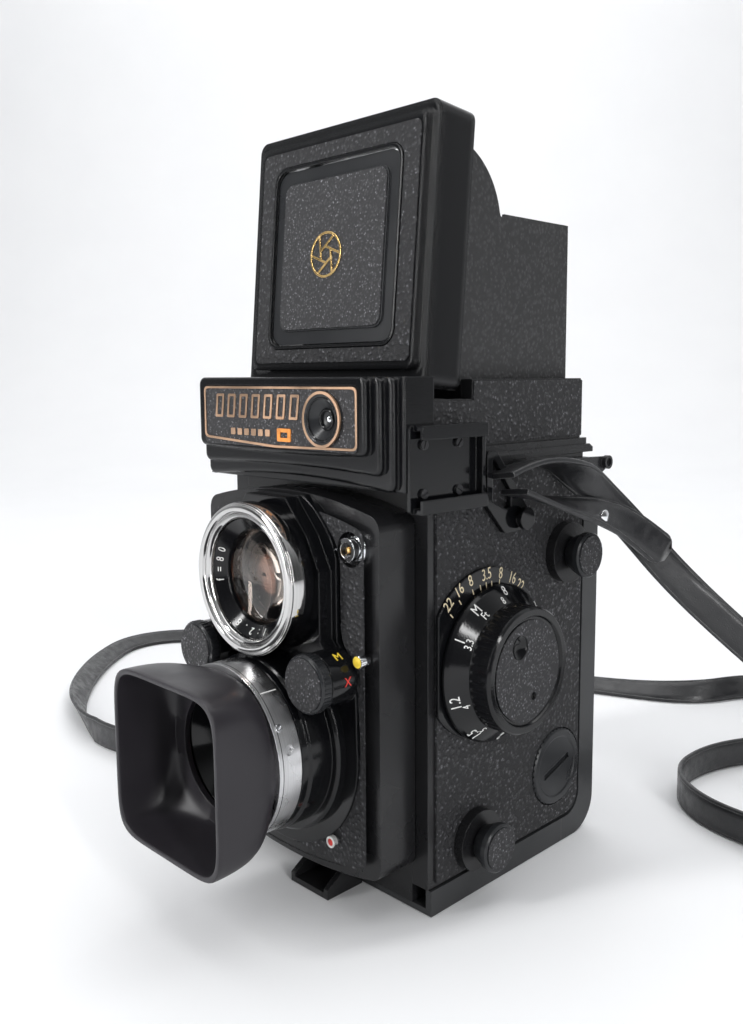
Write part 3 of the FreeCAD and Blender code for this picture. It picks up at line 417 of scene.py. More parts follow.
def swept(points, faces, section):
    """A closed tube: each section lies across the path, its thickness along the face direction."""
    rings = []
    for n, point in enumerate(points):
        ahead = (points[min(n + 1, len(points) - 1)] - points[max(n - 1, 0)]).normalized()
        face = (faces[n] - ahead * faces[n].dot(ahead)).normalized()
        across = ahead.cross(face)
        rings.append([point + across * a + face * b for a, b in section])
    return ring_mesh(rings, capped=True)


def run_lengths(points):
    """Distance along a path to each of its points, in metres."""
    lengths = [0.0]
    for here, there in zip(points, points[1:]):
        lengths.append(lengths[-1] + (there - here).length)
    return lengths


def strap_faces(points):
    """Which way the strap's face looks: on edge where it stands, almost flat where it lies low."""
    lengths = run_lengths(points)
    whole = lengths[-1]
    faces = []
    for n, point in enumerate(points):
        ahead = points[min(n + 1, len(points) - 1)] - points[max(n - 1, 0)]
        sideways = Vector((-ahead.y, ahead.x, 0)).normalized()
        edge = min(1.0, max(0.0, (point.z / MM - 0.9) / (STRAP_WIDTH / 2 - 0.8)))
        face = -(sideways * edge + Z * sqrt(1 - edge * edge))
        start = 1 - smooth_step((lengths[n] - 16 * MM) / (32 * MM))
        face = face * (1 - start) - (Z - X * 0.14) * start
        finish = smooth_step((lengths[n] - whole + 75 * MM) / (60 * MM))
        faces.append(face * (1 - finish) + X * finish)
    return faces


def make_strap():
    """The strap from clip to clip, and the points of its path."""
    points = spline_points(STRAP_ROUTE)
    mesh = swept(points, strap_faces(points), strap_section())
    strap = piece("strap_flat", mesh, "camera_body", "strap", crease=60)
    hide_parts("neck_strap")
    return strap, points


# ---- finishes ----
class Nodes:
    """A shader node tree, with short names for its usual nodes."""

    def __init__(self, tree, coordinates):
        self.tree = tree
        self.place = self.node("TexCoord", coordinates, {})

    def node(self, kind, output, inputs, **settings):
        """A new node with its inputs fed. The answer is one of its outputs."""
        node = self.tree.nodes.new("ShaderNode" + kind)
        for label, value in settings.items():
            setattr(node, label, value)
        for label, value in inputs.items():
            self.feed(node.inputs[label], value)
        return node.outputs[output]

    def feed(self, socket, value):
        """Gives an input a number, a colour or another node's output."""
        if isinstance(value, bpy.types.NodeSocket):
            self.tree.links.new(value, socket)
        elif isinstance(value, tuple) and len(value) == 3 and socket.type == "RGBA":
            socket.default_value = (*value, 1)
        else:
            socket.default_value = value

    def math(self, operation, first, second=0.0):
        return self.node("Math", 0, {0: first, 1: second}, operation=operation)

    def vector(self, operation, first, second=(0, 0, 0)):
        output = "Value" if operation in ("LENGTH", "DOT_PRODUCT") else "Vector"
        return self.node("VectorMath", output, {0: first, 1: second}, operation=operation)

    def ramp(self, value, start, end, first, last):
        """Smooth change from first to last while a value goes from start to end."""
        inputs = {"Value": value, "From Min": start, "From Max": end, "To Min": first, "To Max": last}
        return self.node("MapRange", "Result", inputs, interpolation_type="SMOOTHSTEP")


class Finish(Nodes):
    """A procedural material round one Principled shader."""

    def __init__(self, name, colour, roughness, metallic=0.0, **constants):
        self.material = bpy.data.materials.new(name)
        self.material.use_nodes = True
        super().__init__(self.material.node_tree, "Object")
        self.give(Base_Color=colour, Roughness=roughness, Metallic=metallic, **constants)

    def give(self, **inputs):
        """Feeds the shader's own inputs. The answer is the material."""
        for label, value in inputs.items():
            self.feed(self.tree.nodes["Principled BSDF"].inputs[label.replace("_", " ")], value)
        return self.material

    def noise(self, scale, detail=2.0, place=None, output="Fac"):
        """Cloudy noise; the scale is in features per metre."""
        inputs = {"Vector": place or self.place, "Scale": scale, "Detail": detail}
        return self.node("TexNoise", output, inputs)

    def cells(self, scale, place=None, feature="SMOOTH_F1"):
        """Distance from the middle of scattered cells."""
        inputs = {"Vector": place or self.place, "Scale": scale}
        return self.node("TexVoronoi", "Distance", inputs, feature=feature)

    def drifted(self, scale, amount):
        """The place, pushed about by noise so that cells look grown instead of laid out."""
        push = self.vector("SUBTRACT", self.noise(scale, 2.0, output="Color"), (0.5, 0.5, 0.5))
        return self.vector("ADD", self.place, self.vector("MULTIPLY", push, (amount, amount, amount)))

    def blend(self, share, first, second):
        """One colour where share is 0 and another where it is 1."""
        return self.node("Mix", 2, {0: share, 6: first, 7: second}, data_type="RGBA")

    def edges(self, radius):
        """1 along sharp edges, 0 on flats, and the normal of the rounded edge."""
        rounded = self.node("Bevel", "Normal", {"Radius": radius * MM}, samples=4)
        turn = self.vector("DOT_PRODUCT", rounded, self.node("NewGeometry", "Normal", {}))
        return self.ramp(turn, 0.99, 0.8, 0.0, 1.0), rounded

    def bump(self, height, distance, strength=1.0, **under):
        """Bumps of a height in millimetres, over another Normal where one is given."""
        inputs = {"Strength": strength, "Distance": distance * MM, "Height": height, **under}
        return self.node("Bump", "Normal", inputs)


def leather(name, colour, shine, grain, scale):
    """Pebbled leather or leathercloth: grains of mixed size with small polished tops, and sparse pale
    flecks painted into the colour as glints.
    """
    finish = Finish(name, colour, 0.5, Specular_IOR_Level=0.5)
    place = finish.drifted(scale * 0.45, 1.1 / scale)
    pebbles = finish.ramp(finish.cells(scale, place), 0.08, 0.62, 1.0, 0.0)
    crumbs = finish.noise(scale * 4.5, 3.0)
    polish = finish.math("MULTIPLY", pebbles, crumbs)
    height = finish.math("ADD", pebbles, finish.math("MULTIPLY", crumbs, 0.7))
    # Painted glints: sparse pale flecks mixed into the base colour at the pebble centres, standing in for
    # highlights.
    painted_glints = finish.ramp(finish.cells(scale, place, "F1"), 0.1, 0.34, 1.0, 0.0)
    sparse = finish.ramp(finish.noise(scale * 0.9, 3.0), 0.43, 0.62, 0.0, 1.0)
    # Colour of the painted glints, far paler than the leather.
    bright = tuple(part * 11 + 0.04 for part in colour)
    top = tuple(part * 1.7 for part in colour)
    tops = finish.blend(finish.math("MULTIPLY", pebbles, 0.8), colour, top)
    return finish.give(Base_Color=finish.blend(finish.math("MULTIPLY", painted_glints, sparse), tops, bright),
                       Roughness=finish.ramp(polish, 0.1, 0.6, 0.7, shine),
                       Normal=finish.bump(height, grain))


def enamel(name, colour, roughness, peel=0.02, wear=0.5, edge=0.35):
    """Sprayed black over metal: a slight orange peel, dusty patches and rubbed edges."""
    finish = Finish(name, colour, roughness, Specular_IOR_Level=0.36)
    worn, rounded = finish.edges(edge)
    patchy = finish.ramp(finish.noise(240, 5.0), 0.42, 0.62, 0.0, wear)
    dust = finish.noise(45, 4.0)
    rubbed = tuple(part * 3.0 + 0.02 for part in colour)
    return finish.give(Base_Color=finish.blend(finish.math("MULTIPLY", worn, patchy), colour, rubbed),
                       Roughness=finish.ramp(dust, 0.3, 0.75, roughness * 0.82, min(1.0, roughness * 1.35)),
                       Normal=finish.bump(finish.noise(2600, 3.0), peel, 1.0, Normal=rounded))


def crackle(name, colour, roughness, scale, depth):
    """Wrinkle paint on sheet metal."""
    finish = Finish(name, colour, roughness, Specular_IOR_Level=0.5)
    place = finish.drifted(scale * 0.5, 0.8 / scale)
    grains = finish.ramp(finish.cells(scale, place), 0.0, 0.6, 1.0, 0.0)
    lighter = tuple(part * 1.8 + 0.004 for part in colour)
    return finish.give(Base_Color=finish.blend(grains, colour, lighter),
                       Roughness=finish.ramp(grains, 0.0, 1.0, roughness + 0.15, roughness),
                       Normal=finish.bump(grains, depth))


def turned_metal(name, colour, roughness, centre, spacing=0.13, depth=0.006):
    """Lathe turned metal with fine rings about a y axis."""
    finish = Finish(name, colour, roughness, 1.0)
    rounded = finish.edges(0.25)[1]
    flat = finish.vector("MULTIPLY", finish.place, (1, 0, 1))
    radius = finish.vector("LENGTH", finish.vector("SUBTRACT", flat, (centre[0] * MM, 0, centre[1] * MM)))
    station = finish.vector("DOT_PRODUCT", finish.place, (0, 1, 0))
    per_ring = 1.0 / (spacing * MM)
    rings = finish.node("CombineXYZ", 0, {0: finish.math("MULTIPLY", radius, per_ring),
                                          1: finish.math("MULTIPLY", station, per_ring)})
    lines = finish.noise(1.0, 3.0, rings)
    smudge = finish.noise(90, 4.0)
    darker = tuple(part * 0.78 for part in colour)
    return finish.give(Base_Color=finish.blend(finish.ramp(lines, 0.35, 0.65, 0.0, 0.6), colour, darker),
                       Roughness=finish.ramp(smudge, 0.35, 0.7, roughness * 0.8, roughness * 1.4),
                       Normal=finish.bump(lines, depth, 1.0, Normal=rounded))


def plated(name, colour, roughness):
    """Bright plating with faint smudges and small pits."""
    finish = Finish(name, colour, roughness, 1.0)
    rounded = finish.edges(0.2)[1]
    smudge = finish.noise(70, 5.0)
    pits = finish.ramp(finish.cells(520), 0.0, 0.09, 0.0, 1.0)
    dull = tuple(part * 0.72 for part in colour)
    return finish.give(Base_Color=finish.blend(pits, dull, colour),
                       Roughness=finish.ramp(smudge, 0.4, 0.75, roughness, roughness * 2.4 + 0.02),
                       Normal=finish.bump(finish.noise(160, 2.0), 0.03, 0.5, Normal=rounded))


def ink(name, colour, roughness=0.5):
    """Paint filled into engraved marks, a little uneven."""
    finish = Finish(name, colour, roughness)
    tired = tuple(part * 0.72 for part in colour)
    patchy = finish.ramp(finish.noise(700, 4.0), 0.4, 0.7, 0.0, 1.0)
    smudge = finish.noise(300, 2.0)
    return finish.give(Base_Color=finish.blend(patchy, colour, tired),
                       Roughness=finish.ramp(smudge, 0.3, 0.7, roughness * 0.8, roughness * 1.2))


def coated_glass(name, tint, roughness=0.0):
    """Polished optical glass with an anti-reflection coat and a little dust."""
    finish = Finish(name, tint, roughness, Transmission_Weight=1.0, IOR=1.5)
    dust = finish.ramp(finish.cells(900), 0.0, 0.05, 0.3, 0.0)
    return finish.give(Roughness=finish.math("ADD", dust, roughness),
                       Normal=finish.bump(finish.noise(60, 2.0), 0.004))


def ground_glass(name):
    """A matt viewing screen with fine rings, like a field lens."""
    finish = Finish(name, (0.82, 0.84, 0.82), 0.5, Transmission_Weight=0.75, IOR=1.49)
    radius = finish.vector("LENGTH", finish.vector("MULTIPLY", finish.place, (1, 1, 0)))
    rings = finish.math("SINE", finish.math("MULTIPLY", radius, 12000.0))
    return finish.give(Roughness=finish.ramp(finish.noise(1500, 3.0), 0.3, 0.7, 0.42, 0.62),
                       Normal=finish.bump(rings, 0.02))


def silvered(name):
    """A front silvered mirror with faint dust."""
    finish = Finish(name, (0.86, 0.87, 0.88), 0.03, 1.0)
    cloudy = finish.ramp(finish.noise(30, 3.0), 0.4, 0.8, 0.0, 0.5)
    return finish.give(Base_Color=finish.blend(cloudy, (0.88, 0.89, 0.9), (0.78, 0.79, 0.8)),
                       Roughness=finish.ramp(finish.cells(700), 0.0, 0.06, 0.35, 0.02))


def strap_hide(name):
    """Smooth pressed strap leather: satin face, fine pores, and edges lightened both as scuffs and as a
    painted highlight.
    """
    colour = (0.013, 0.0133, 0.015)
    finish = Finish(name, colour, 0.34, Coat_Weight=0.15, Coat_Roughness=0.16)
    worn, rounded = finish.edges(0.4)
    pores = finish.ramp(finish.cells(1900, finish.drifted(500, 0.0012)), 0.0, 0.4, 0.0, 1.0)
    creases = finish.noise(330, 5.0)
    # Edges lightened to pale grey: partly scuffed wear, partly a painted highlight along the strap's edges.
    scuffs_and_painted_edge_highlight = finish.math("MULTIPLY", worn, finish.ramp(creases, 0.35, 0.6, 0.2, 0.9))
    height = finish.math("ADD", pores, finish.math("MULTIPLY", creases, 0.8))
    return finish.give(Base_Color=finish.blend(scuffs_and_painted_edge_highlight, colour, (0.24, 0.24, 0.24)),
                       Roughness=finish.ramp(creases, 0.3, 0.7, 0.3, 0.52),
                       Normal=finish.bump(height, 0.05, 0.8, Normal=rounded))


MATERIALS = {
    "leather": leather("leather_pebbled", (0.012, 0.012, 0.0135), 0.22, 0.34, 900),
    "leather_fine": leather("leather_fine", (0.02, 0.02, 0.022), 0.3, 0.16, 1300),
    "strap": strap_hide("strap_hide"),
    "satin": enamel("satin_black_enamel", (0.011, 0.011, 0.012), 0.25),
    "door": enamel("door_black_enamel", (0.03, 0.031, 0.033), 0.4, 0.03),
    "gloss": enamel("gloss_black_enamel", (0.004, 0.0042, 0.005), 0.1, 0.01, 0.35, 0.5),
    "lid": enamel("lid_black_enamel", (0.005, 0.0052, 0.006), 0.13, 0.008, 0.0, 2.4),
    "housing": enamel("housing_black_enamel", (0.004, 0.0042, 0.005), 0.11, 0.008, 0.1, 0.8),
    "matt": enamel("matt_black_baffle", (0.004, 0.004, 0.004), 0.72, 0.05, 0.1),
    "shade": enamel("shade_purple_black", (0.022, 0.02, 0.024), 0.36, 0.012, 0.7, 0.3),
    "plastic": enamel("moulded_black", (0.016, 0.017, 0.019), 0.3, 0.015, 0.4),
    "hood": crackle("hood_wrinkle_paint", (0.02, 0.02, 0.021), 0.42, 900, 0.16),
    "aluminium": turned_metal("clamp_ring_aluminium", (0.74, 0.74, 0.75), 0.27, AXIS_TAKE),
    "chrome": plated("bright_chrome", (0.86, 0.87, 0.89), 0.06),
    "viewing_ring": turned_metal("viewing_ring_chrome", (0.6, 0.595, 0.59), 0.07, AXIS_VIEW,
                                 0.5, 0.001),
    "steel": plated("screw_steel", (0.42, 0.42, 0.44), 0.24),
    "blackened": enamel("blackened_steel", (0.02, 0.02, 0.022), 0.28, 0.02, 0.8, 0.2),
    "gold": plated("gilt", (0.86, 0.6, 0.26), 0.16),
    "bronze": plated("bronze_line", (0.56, 0.37, 0.25), 0.28),
    "glass": coated_glass("coated_lens_glass", (1.0, 0.86, 0.76)),
    "window": coated_glass("clear_window", (0.96, 0.97, 1.0), 0.02),
    "screen": ground_glass("ground_screen"),
    "mirror": silvered("silvered_mirror"),
    "amber": turned_metal("inner_element_amber", (0.2, 0.11, 0.085), 0.22, AXIS_VIEW, 1.4, 0.001),
    "white": ink("white_paint", (0.86, 0.86, 0.84)),
    "cream": ink("cream_paint", (0.72, 0.62, 0.42)),
    "yellow": ink("yellow_paint", (0.85, 0.62, 0.05)),
    "orange": ink("orange_paint", (0.85, 0.3, 0.05)),
    "red": ink("red_paint", (0.68, 0.04, 0.03)),
    "film": enamel("spool_black", (0.012, 0.012, 0.012), 0.38, 0.02),
}


# Which finish each CAD node has.
NODE_FINISH = {
    "satin": ["body_casting", "side_cover_right", "side_cover_left", "front_foot", "hood_base",
              "front_panel", "spool_bosses", "crank_plate", "crank_arm", "hood_back"],
    "door": ["back_door", "door_latch"],
    "lid": ["hood_lid"],
    "housing": ["nameplate_housing"],
    "gloss": ["escutcheon", "strap_lugs", "accessory_shoe",
              "viewing_lens_barrel", "taking_lens_barrel", "depth_scale", "focus_knob"],
    "plastic": ["sports_flap", "spool_knob_lower", "spool_knob_upper", "speed_dial", "aperture_dial",
                "battery_cover", "crank_handle", "meter_cell_window"],
    "blackened": ["door_hinge", "focus_shaft", "magnifier_arm", "door_lock_dial"],
    "hood": ["hood_side_right", "hood_side_left"],
    "matt": ["pressure_plate"],
    "film": ["supply_spool", "takeup_spool"],
    "leather": ["leatherette_right", "leatherette_left"],
    "leather_fine": ["nameplate"],
    "shade": ["lens_shade"],
    "aluminium": ["shade_clamp_ring"],
    "chrome": ["flash_sync_socket", "sync_lever", "self_timer_lever", "film_roller_lower",
               "film_roller_upper"],
    "steel": ["tripod_socket", "release_button", "battery"],
    "glass": ["viewing_lens_glass", "taking_lens_glass", "magnifier_lens"],
    "window": ["meter_window"],
    "screen": ["focusing_screen"],
    "mirror": ["reflex_mirror"],
    "yellow": ["meter_needle"],
    "strap": ["neck_strap", "strap_ends"],
}


def paint_nodes():
    """Gives every CAD node its finish."""
    for finish, names in NODE_FINISH.items():
        for name in names:
            mesh = NODES[name].data
            mesh.materials.clear()
            mesh.materials.append(MATERIALS[finish])
            mesh.polygons.foreach_set("material_index", [0] * len(mesh.polygons))


# ---- leather panels and trim ----
def panel_leather():
    """The leather let into the lens panel, cut out round the plate and both sockets."""
    outline = bowed(PANEL_HALF - 3.4, 15.6, 11.6, 100.6, 105.2, 2.5)
    socket = circle(SOCKET, 4.5, 40)
    button = circle(spot_of("release_button", "xz"), 5.8, 40)
    plate = softened([(-29.9, 44), (-28.9, 61.5), (-26.6, 68.9), (-23.0, 73.0), (-23.0, 96), (-14.5, 104.6),
                      (14.5, 104.6), (23.0, 96), (23.0, 73.0), (26.6, 68.9), (28.9, 61.5), (29.9, 44),
                      (26.2, 28.9), (15.6, 17.8), (0, 14.0), (-15.6, 17.8), (-26.2, 28.9)], 5)
    plane = front(low("front_panel", "y"))
    skin("panel_leather", [outline, plate, socket, button], plane, "standard", thickness=0.35)


def lid_leather():
    """The leather field of the raised lid and the square in its flap."""
    field = leaned(front(LID_FACE - 1.6))
    outline = rectangle(-30.4, 30.4, 140.9, 199.3, 1.8)
    window = rectangle(-25.2, 25.2, 144.6, 195.0, 4.6)
    skin("lid_leather", [outline, window], field, "lid")
    rim = [rectangle(-25.0, 25.0, 144.8, 194.8, 4.4), rectangle(-24.1, 24.1, 145.7, 193.9, 3.9)]
    piece("lid_window_rim", plate_mesh(rim, 0.7, field, 0.25), "lid", "gloss")
    pad = rectangle(-19.8, 19.8, 150.0, 189.6, 2.8)
    skin("flap_leather", [pad], leaned(front(LID_FACE - 1.9)), "flap", "leather_fine")


def emblem():
    """A plain ring with six iris blades, in gilt, on the flap."""
    centre = Vector((-1.6, 169.4))
    plane = leaned(front(LID_FACE - 2.3))
    meshes = [plate_mesh([circle(centre, 6.1), circle(centre, 5.45)], 0.35, plane, 0.08)]
    for n in range(6):
        start = radians(60 * n)
        end = radians(60 * n + 100)
        a = centre + Vector((cos(start), sin(start))) * 5.5
        b = centre + Vector((cos(end), sin(end))) * 2.3
        side = Vector((a.y - b.y, b.x - a.x)).normalized() * 0.3
        meshes.append(plate_mesh([[a + side, b + side, b - side, a - side]], 0.3, plane))
    piece("flap_emblem", merged(meshes), "flap", "gold")


def box_leather():
    """The leather round the finder box, on its two sides and its rear."""
    z0, z1 = 120.0, 136.2
    step = softened([(-33.2, z0), (32.8, z0), (32.8, z1), (-16.2, z1), (-16.2, 131.2), (-33.2, 131.2)], 0.6)
    other = [(-a, b) for a, b in reversed(step)]
    half = high("hood_side_right", "x") + 4.8
    back = rectangle(-35.4, 35.4, z0, z1, 0.8)
    for name, loop, plane in (("right", step, right(half)), ("left", other, left(-half)),
                              ("rear", back, rear(33.5))):
        skin("box_leather_" + name, [loop], plane, "camera_body", thickness=0.3)


def door_leather():
    """The leather on the back door."""
    outline = rectangle(-34.6, 34.6, 11.5, 104.5, 3.0)
    skin("door_leather", [outline], rear(DOOR_REAR), "door", thickness=0.5, soft=0.15)


# ---- marks and small fittings ----
def nameplate_trim():
    """The bronze line round the nameplate, and plain ornament where a name would be."""
    plane = front(high("nameplate", "y") - 0.55)
    outer = softened([(-33.2, 120.8), (-2, 119.2), (29, 119.8), (29, 135), (-33.2, 135)], 1.6)
    inner = softened([(-32.6, 121.4), (-2, 119.85), (28.4, 120.4), (28.4, 134.4), (-32.6, 134.4)], 1.3)
    meshes = [plate_mesh([outer, inner], 0.3, plane, 0.06)]
    for n in range(7):
        a = -28.0 + 5.3 * n
        bar = [(a, 126.6), (a + 3.4, 126.6), (a + 4.2, 133.0), (a + 0.8, 133.0)]
        slit = [(a + 0.75, 127.3), (a + 2.8, 127.3), (a + 3.45, 132.3), (a + 1.4, 132.3)]
        meshes.append(plate_mesh([softened(bar, 0.5), softened(slit, 0.3)], 0.3, plane, 0.06))
    for n in range(6):
        a = -21.0 + 3.0 * n
        meshes.append(plate_mesh([rectangle(a, a + 1.9, 122.0, 123.8, 0.3)], 0.25, plane, 0.05))
    piece("nameplate_ornament", merged(meshes), "camera_body", "bronze")
    block = [rectangle(-1.0, 4.4, 120.9, 124.3, 0.4), rectangle(0.2, 3.2, 121.9, 123.3, 0.2)]
    mesh = plate_mesh(block, 0.3, plane, 0.05)
    piece("nameplate_orange_block", mesh, "camera_body", "orange")


def meter_eye():
    """Rings and a bright cell behind the light meter's window."""
    centre = spot_of("meter_cell_window", "xz")
    y = low("meter_cell_window", "y")
    rim = [(6.95, -0.1), (6.95, 0.5), (6.25, 0.5), (6.25, -0.1)]
    turned("eye_rim", rim, "y", centre, y, "camera_body", "bronze")
    rings = [turned_mesh([(radius, depth), (radius - 0.35, depth - 0.2),
                          (radius - 0.7, depth), (radius - 0.35, depth + 0.6)], "y", centre, y)
             for radius, depth in ((5.7, 0.3), (2.7, 1.9))]
    piece("eye_rings", merged(rings), "camera_body", "gloss")
    cell = [(0.01, 2.2), (0.5, 2.3), (0.9, 2.7), (0.9, 3.6), (0.01, 3.6)]
    turned("eye_cell", cell, "y", centre, y, "camera_body", "chrome", 48, False)


def dial_faces():
    """Leather discs and milled rims on the two exposure dials."""
    for body, side in (("speed", -1), ("aperture", 1)):
        centre = (side * DIAL_X, DIAL_Z)
        skin(body + "_dial_leather", [circle(centre, 6.5)], front(DIAL_FRONT), body, "leather_fine",
             soft=0.15)
        ridge = rectangle(-1.0, 1.0, -0.25, 0.25, 0.1, 2)
        ridges = [plate_mesh([ridge], 0.22, on_barrel(centre, 7.15, DIAL_FRONT + 1.7, 360 * n / 40))
                  for n in range(40)]
        piece(body + "_dial_ridges", merged(ridges), body, "plastic")


def lever_tips():
    """Flash settings, and the coloured ends of the two levers."""
    for words, turn, station, colour in (("M", 58.0, -55.0, "yellow"), ("X", 3.0, -54.8, "red")):
        mesh = text_mesh(words, 3.2, on_barrel((DIAL_X, DIAL_Z), LOBE_R, station, turn), 0.12, 0.95)
        piece("mark_" + words.lower(), mesh, "standard", colour)
    sync_spot = (high("sync_lever", "x") - 1.7, high("sync_lever", "z") - 1.7)
    timer_spot = (high("self_timer_lever", "x") - 1.5, low("self_timer_lever", "z") + 1.5)
    for body, spot, radius, colour in (("sync", sync_spot, 1.45, "yellow"),
                                       ("self_timer", timer_spot, 0.95, "red")):
        y = low(body + "_lever", "y")
        profile = [(0.01, -0.25), (radius * 0.7, -0.2), (radius, 0), (0.01, 0)]
        turned(body + "_tip", profile, "y", spot, y, body, colour, 40, False)
    ring = [(1.5, -0.1), (1.5, 1.2), (0.95, 1.2), (0.95, -0.1)]
    turned("self_timer_ring", ring, "y", timer_spot, y, "self_timer", "white", 40)


def depth_marks():
    """Aperture numbers and ticks of the depth of field scale behind the focus knob."""
    numbers = (("22", 25.7, 134.1), ("16", 25.5, 122.9), ("8", 25.0, 112.2), ("3.5", 24.1, 97.3),
               ("8", 23.5, 83.2), ("16", 22.7, 70.0), ("22", 21.8, 59.1))
    meshes = [text_mesh(words, 4.4, round_the("x", KNOB, radius, SCALE_FACE, angle), 0.06, 0.74)
              for words, radius, angle in numbers]
    piece("depth_numbers", merged(meshes), "camera_body", "cream")
    ticks = ((22.8, 137.4), (22.8, 126.4), (21.9, 112.9), (21.6, 104.9), (21.4, 98.6), (21.2, 92.6),
             (21.2, 83.9))
    bar = rectangle(-0.14, 0.14, -0.75, 0.75, 0.05, 2)
    bars = [plate_mesh([bar], 0.06, round_the("x", KNOB, radius, SCALE_FACE, angle))
            for radius, angle in ticks]
    piece("depth_ticks", merged(bars), "camera_body", "cream")


def distance_marks():
    """Metre and foot numbers on the cone of the focus knob's skirt."""
    outer = (("M", 123.0), ("1", 150.5), ("1.2", 198.3), ("1.5", 235.0), ("2", 268.0), ("3", 300.0),
             ("5", 330.0), ("10", 4.0), ("20", 40.0), ("8", 88.0))
    inner = (("Ft", 121.5), ("3.3", 150.6), ("4", 203.8), ("5", 237.0), ("7", 268.0), ("10", 300.0),
             ("15", 330.0), ("30", 4.0), ("60", 40.0), ("8", 96.0))
    meshes = []
    for row, radius, size in ((outer, 19.4, 3.9), (inner, 17.6, 2.9)):
        station = 42.2 + (20.4 - radius) * 3.4 / 3.8
        for words, angle in row:
            spot = round_the("x", KNOB, radius, station, angle, -41.8)
            meshes.append(text_mesh(words, size, spot, 0.08, 0.8))
    piece("distance_numbers", merged(meshes), "focus", "white")


def knob_face():
    """The leather discs let into the focus knob and the two spool knobs."""
    dimple = circle((KNOB[0] - 3.6, KNOB[1] + 6.8), 3.15, 40)
    screw = circle((KNOB[0] + 2.4, KNOB[1] - 7.2), 1.1, 24)
    disc = circle(KNOB, 13.3)
    skin("knob_leather", [disc, dimple, screw], right(KNOB_FACE), "focus", "leather_fine", 0.35)
    for body, node in (("knob_low", "spool_knob_lower"), ("knob_high", "spool_knob_upper")):
        disc = circle(spot_of(node, "yz"), 5.5)
        skin(body + "_leather", [disc], right(high(node, "x")), body, "leather_fine", 0.35, 0.12)


def screw_mesh(plane, centre, radius, turn, height=0.45):
    """A cheese head screw with a slot."""
    slot = rectangle(-radius * 0.86, radius * 0.86, -radius * 0.16, radius * 0.16, radius * 0.05, 2)
    lean_by = radians(turn)
    turned_slot = [(centre[0] + a * cos(lean_by) - b * sin(lean_by),
                    centre[1] + a * sin(lean_by) + b * cos(lean_by)) for a, b in slot]
    floor = plate_mesh([circle(centre, radius * 0.97, 32)], height * 0.45, plane)
    head = plate_mesh([circle(centre, radius, 32), turned_slot], height * 0.62,
                      plane @ Matrix.Translation((0, 0, height * 0.42 * MM)), 0.07)
    return merged([floor, head])


def screws():
    """Slotted heads on the shoe and the hinge arms."""
    spots = [(right(SHOE_FACE), y, z, 1.25, turn) for y, z, turn in
             ((-39.6, 109.6, 20), (-39.6, 121.4, 75), (-27.0, 109.6, -30), (-27.0, 121.4, 50))]
    spots += [(right(ARM_FACE), 28.0, 111.2, 1.6, 35), (right(ARM_FACE), 19.5, 111.4, 1.6, -20),
              (left(-ARM_FACE), -28.0, 111.2, 1.6, 15), (left(-ARM_FACE), -19.5, 111.4, 1.6, 70)]
    meshes = [screw_mesh(plane, (a, b), radius, turn, 0.5) for plane, a, b, radius, turn in spots]
    piece("side_screws", merged(meshes), "camera_body", "blackened")


def clamp_details():
    """A scribed line, an index and a screw on the clamp ring, and the shade's inner step."""
    y = low("shade_clamp_ring", "y")
    groove = [(CLAMP_R + 0.02, 1.1), (CLAMP_R + 0.07, 1.15), (CLAMP_R + 0.02, 1.3),
              (CLAMP_R - 0.2, 1.3), (CLAMP_R - 0.2, 1.1)]
    turned("clamp_scribe", groove, "y", AXIS_TAKE, y, "shade", "blackened")
    index = plate_mesh([rectangle(-2.4, 2.4, -0.14, 0.14, 0.05, 2)], 0.06,
                       on_barrel(AXIS_TAKE, CLAMP_R, y + 3.8, 53.0))
    piece("clamp_index", index, "shade", "white")
    dot = screw_mesh(on_barrel(AXIS_TAKE, CLAMP_R - 0.1, y + 1.9, 28.5), (0, 0), 0.95, 30, 0.4)
    piece("clamp_screw", dot, "shade", "chrome")
    step = [(18.6, -0.5), (18.6, 0.4), (17.2, 0.6), (16.0, 0.4), (16.0, -0.3), (17.2, -0.1)]
    turned("shade_root_ring", step, "y", AXIS_TAKE, y, "shade", "matt")


def full_shade():
    """The lens shade with its full sides: round at the clamp ring and soon a soft square."""
    root = high("lens_shade", "y")
    mouth = low("lens_shade", "y")
    half = high("lens_shade", "x")
    wall = 1.3
    root_outer = 21.0
    root_inner = 19.7
    count = 14
    outer = []
    inner = []
    for n in range(count + 1):
        share = n / count
        swell = 1 - (1 - share) ** 2.6
        power = 2.0 + 4.6 * swell
        outer.append((root_outer + (half - root_outer) * swell, root + (mouth + 0.4 - root) * share, power))
        inner.append((root_inner + (half - wall - root_inner) * swell,
                      root - 1.6 + (mouth + 2.0 - root) * share, power))
    lip = [(half - 0.1, mouth + 0.1, 6.6), (half - 0.4, mouth, 6.6), (half - wall + 0.3, mouth, 6.6),
           (half - wall + 0.05, mouth + 0.15, 6.6)]
    floor = [(15.5, root - 1.6, 2.0), (15.5, root, 2.0)]
    mesh = squarish_mesh(outer + lip + inner[::-1] + floor, AXIS_TAKE)
    shade = piece("shade_shell", mesh, "shade", "shade", crease=50)
    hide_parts("lens_shade")


def inner_lens(name, centre, start, element, baffle):
    """What shows behind a front glass: the inner element and the baffle round it."""
    turned(name + "_inner_element", element, "y", centre, start, "standard", "amber", 96,
           False)
    turned(name + "_baffle", baffle, "y", centre, start, "standard", "gloss")


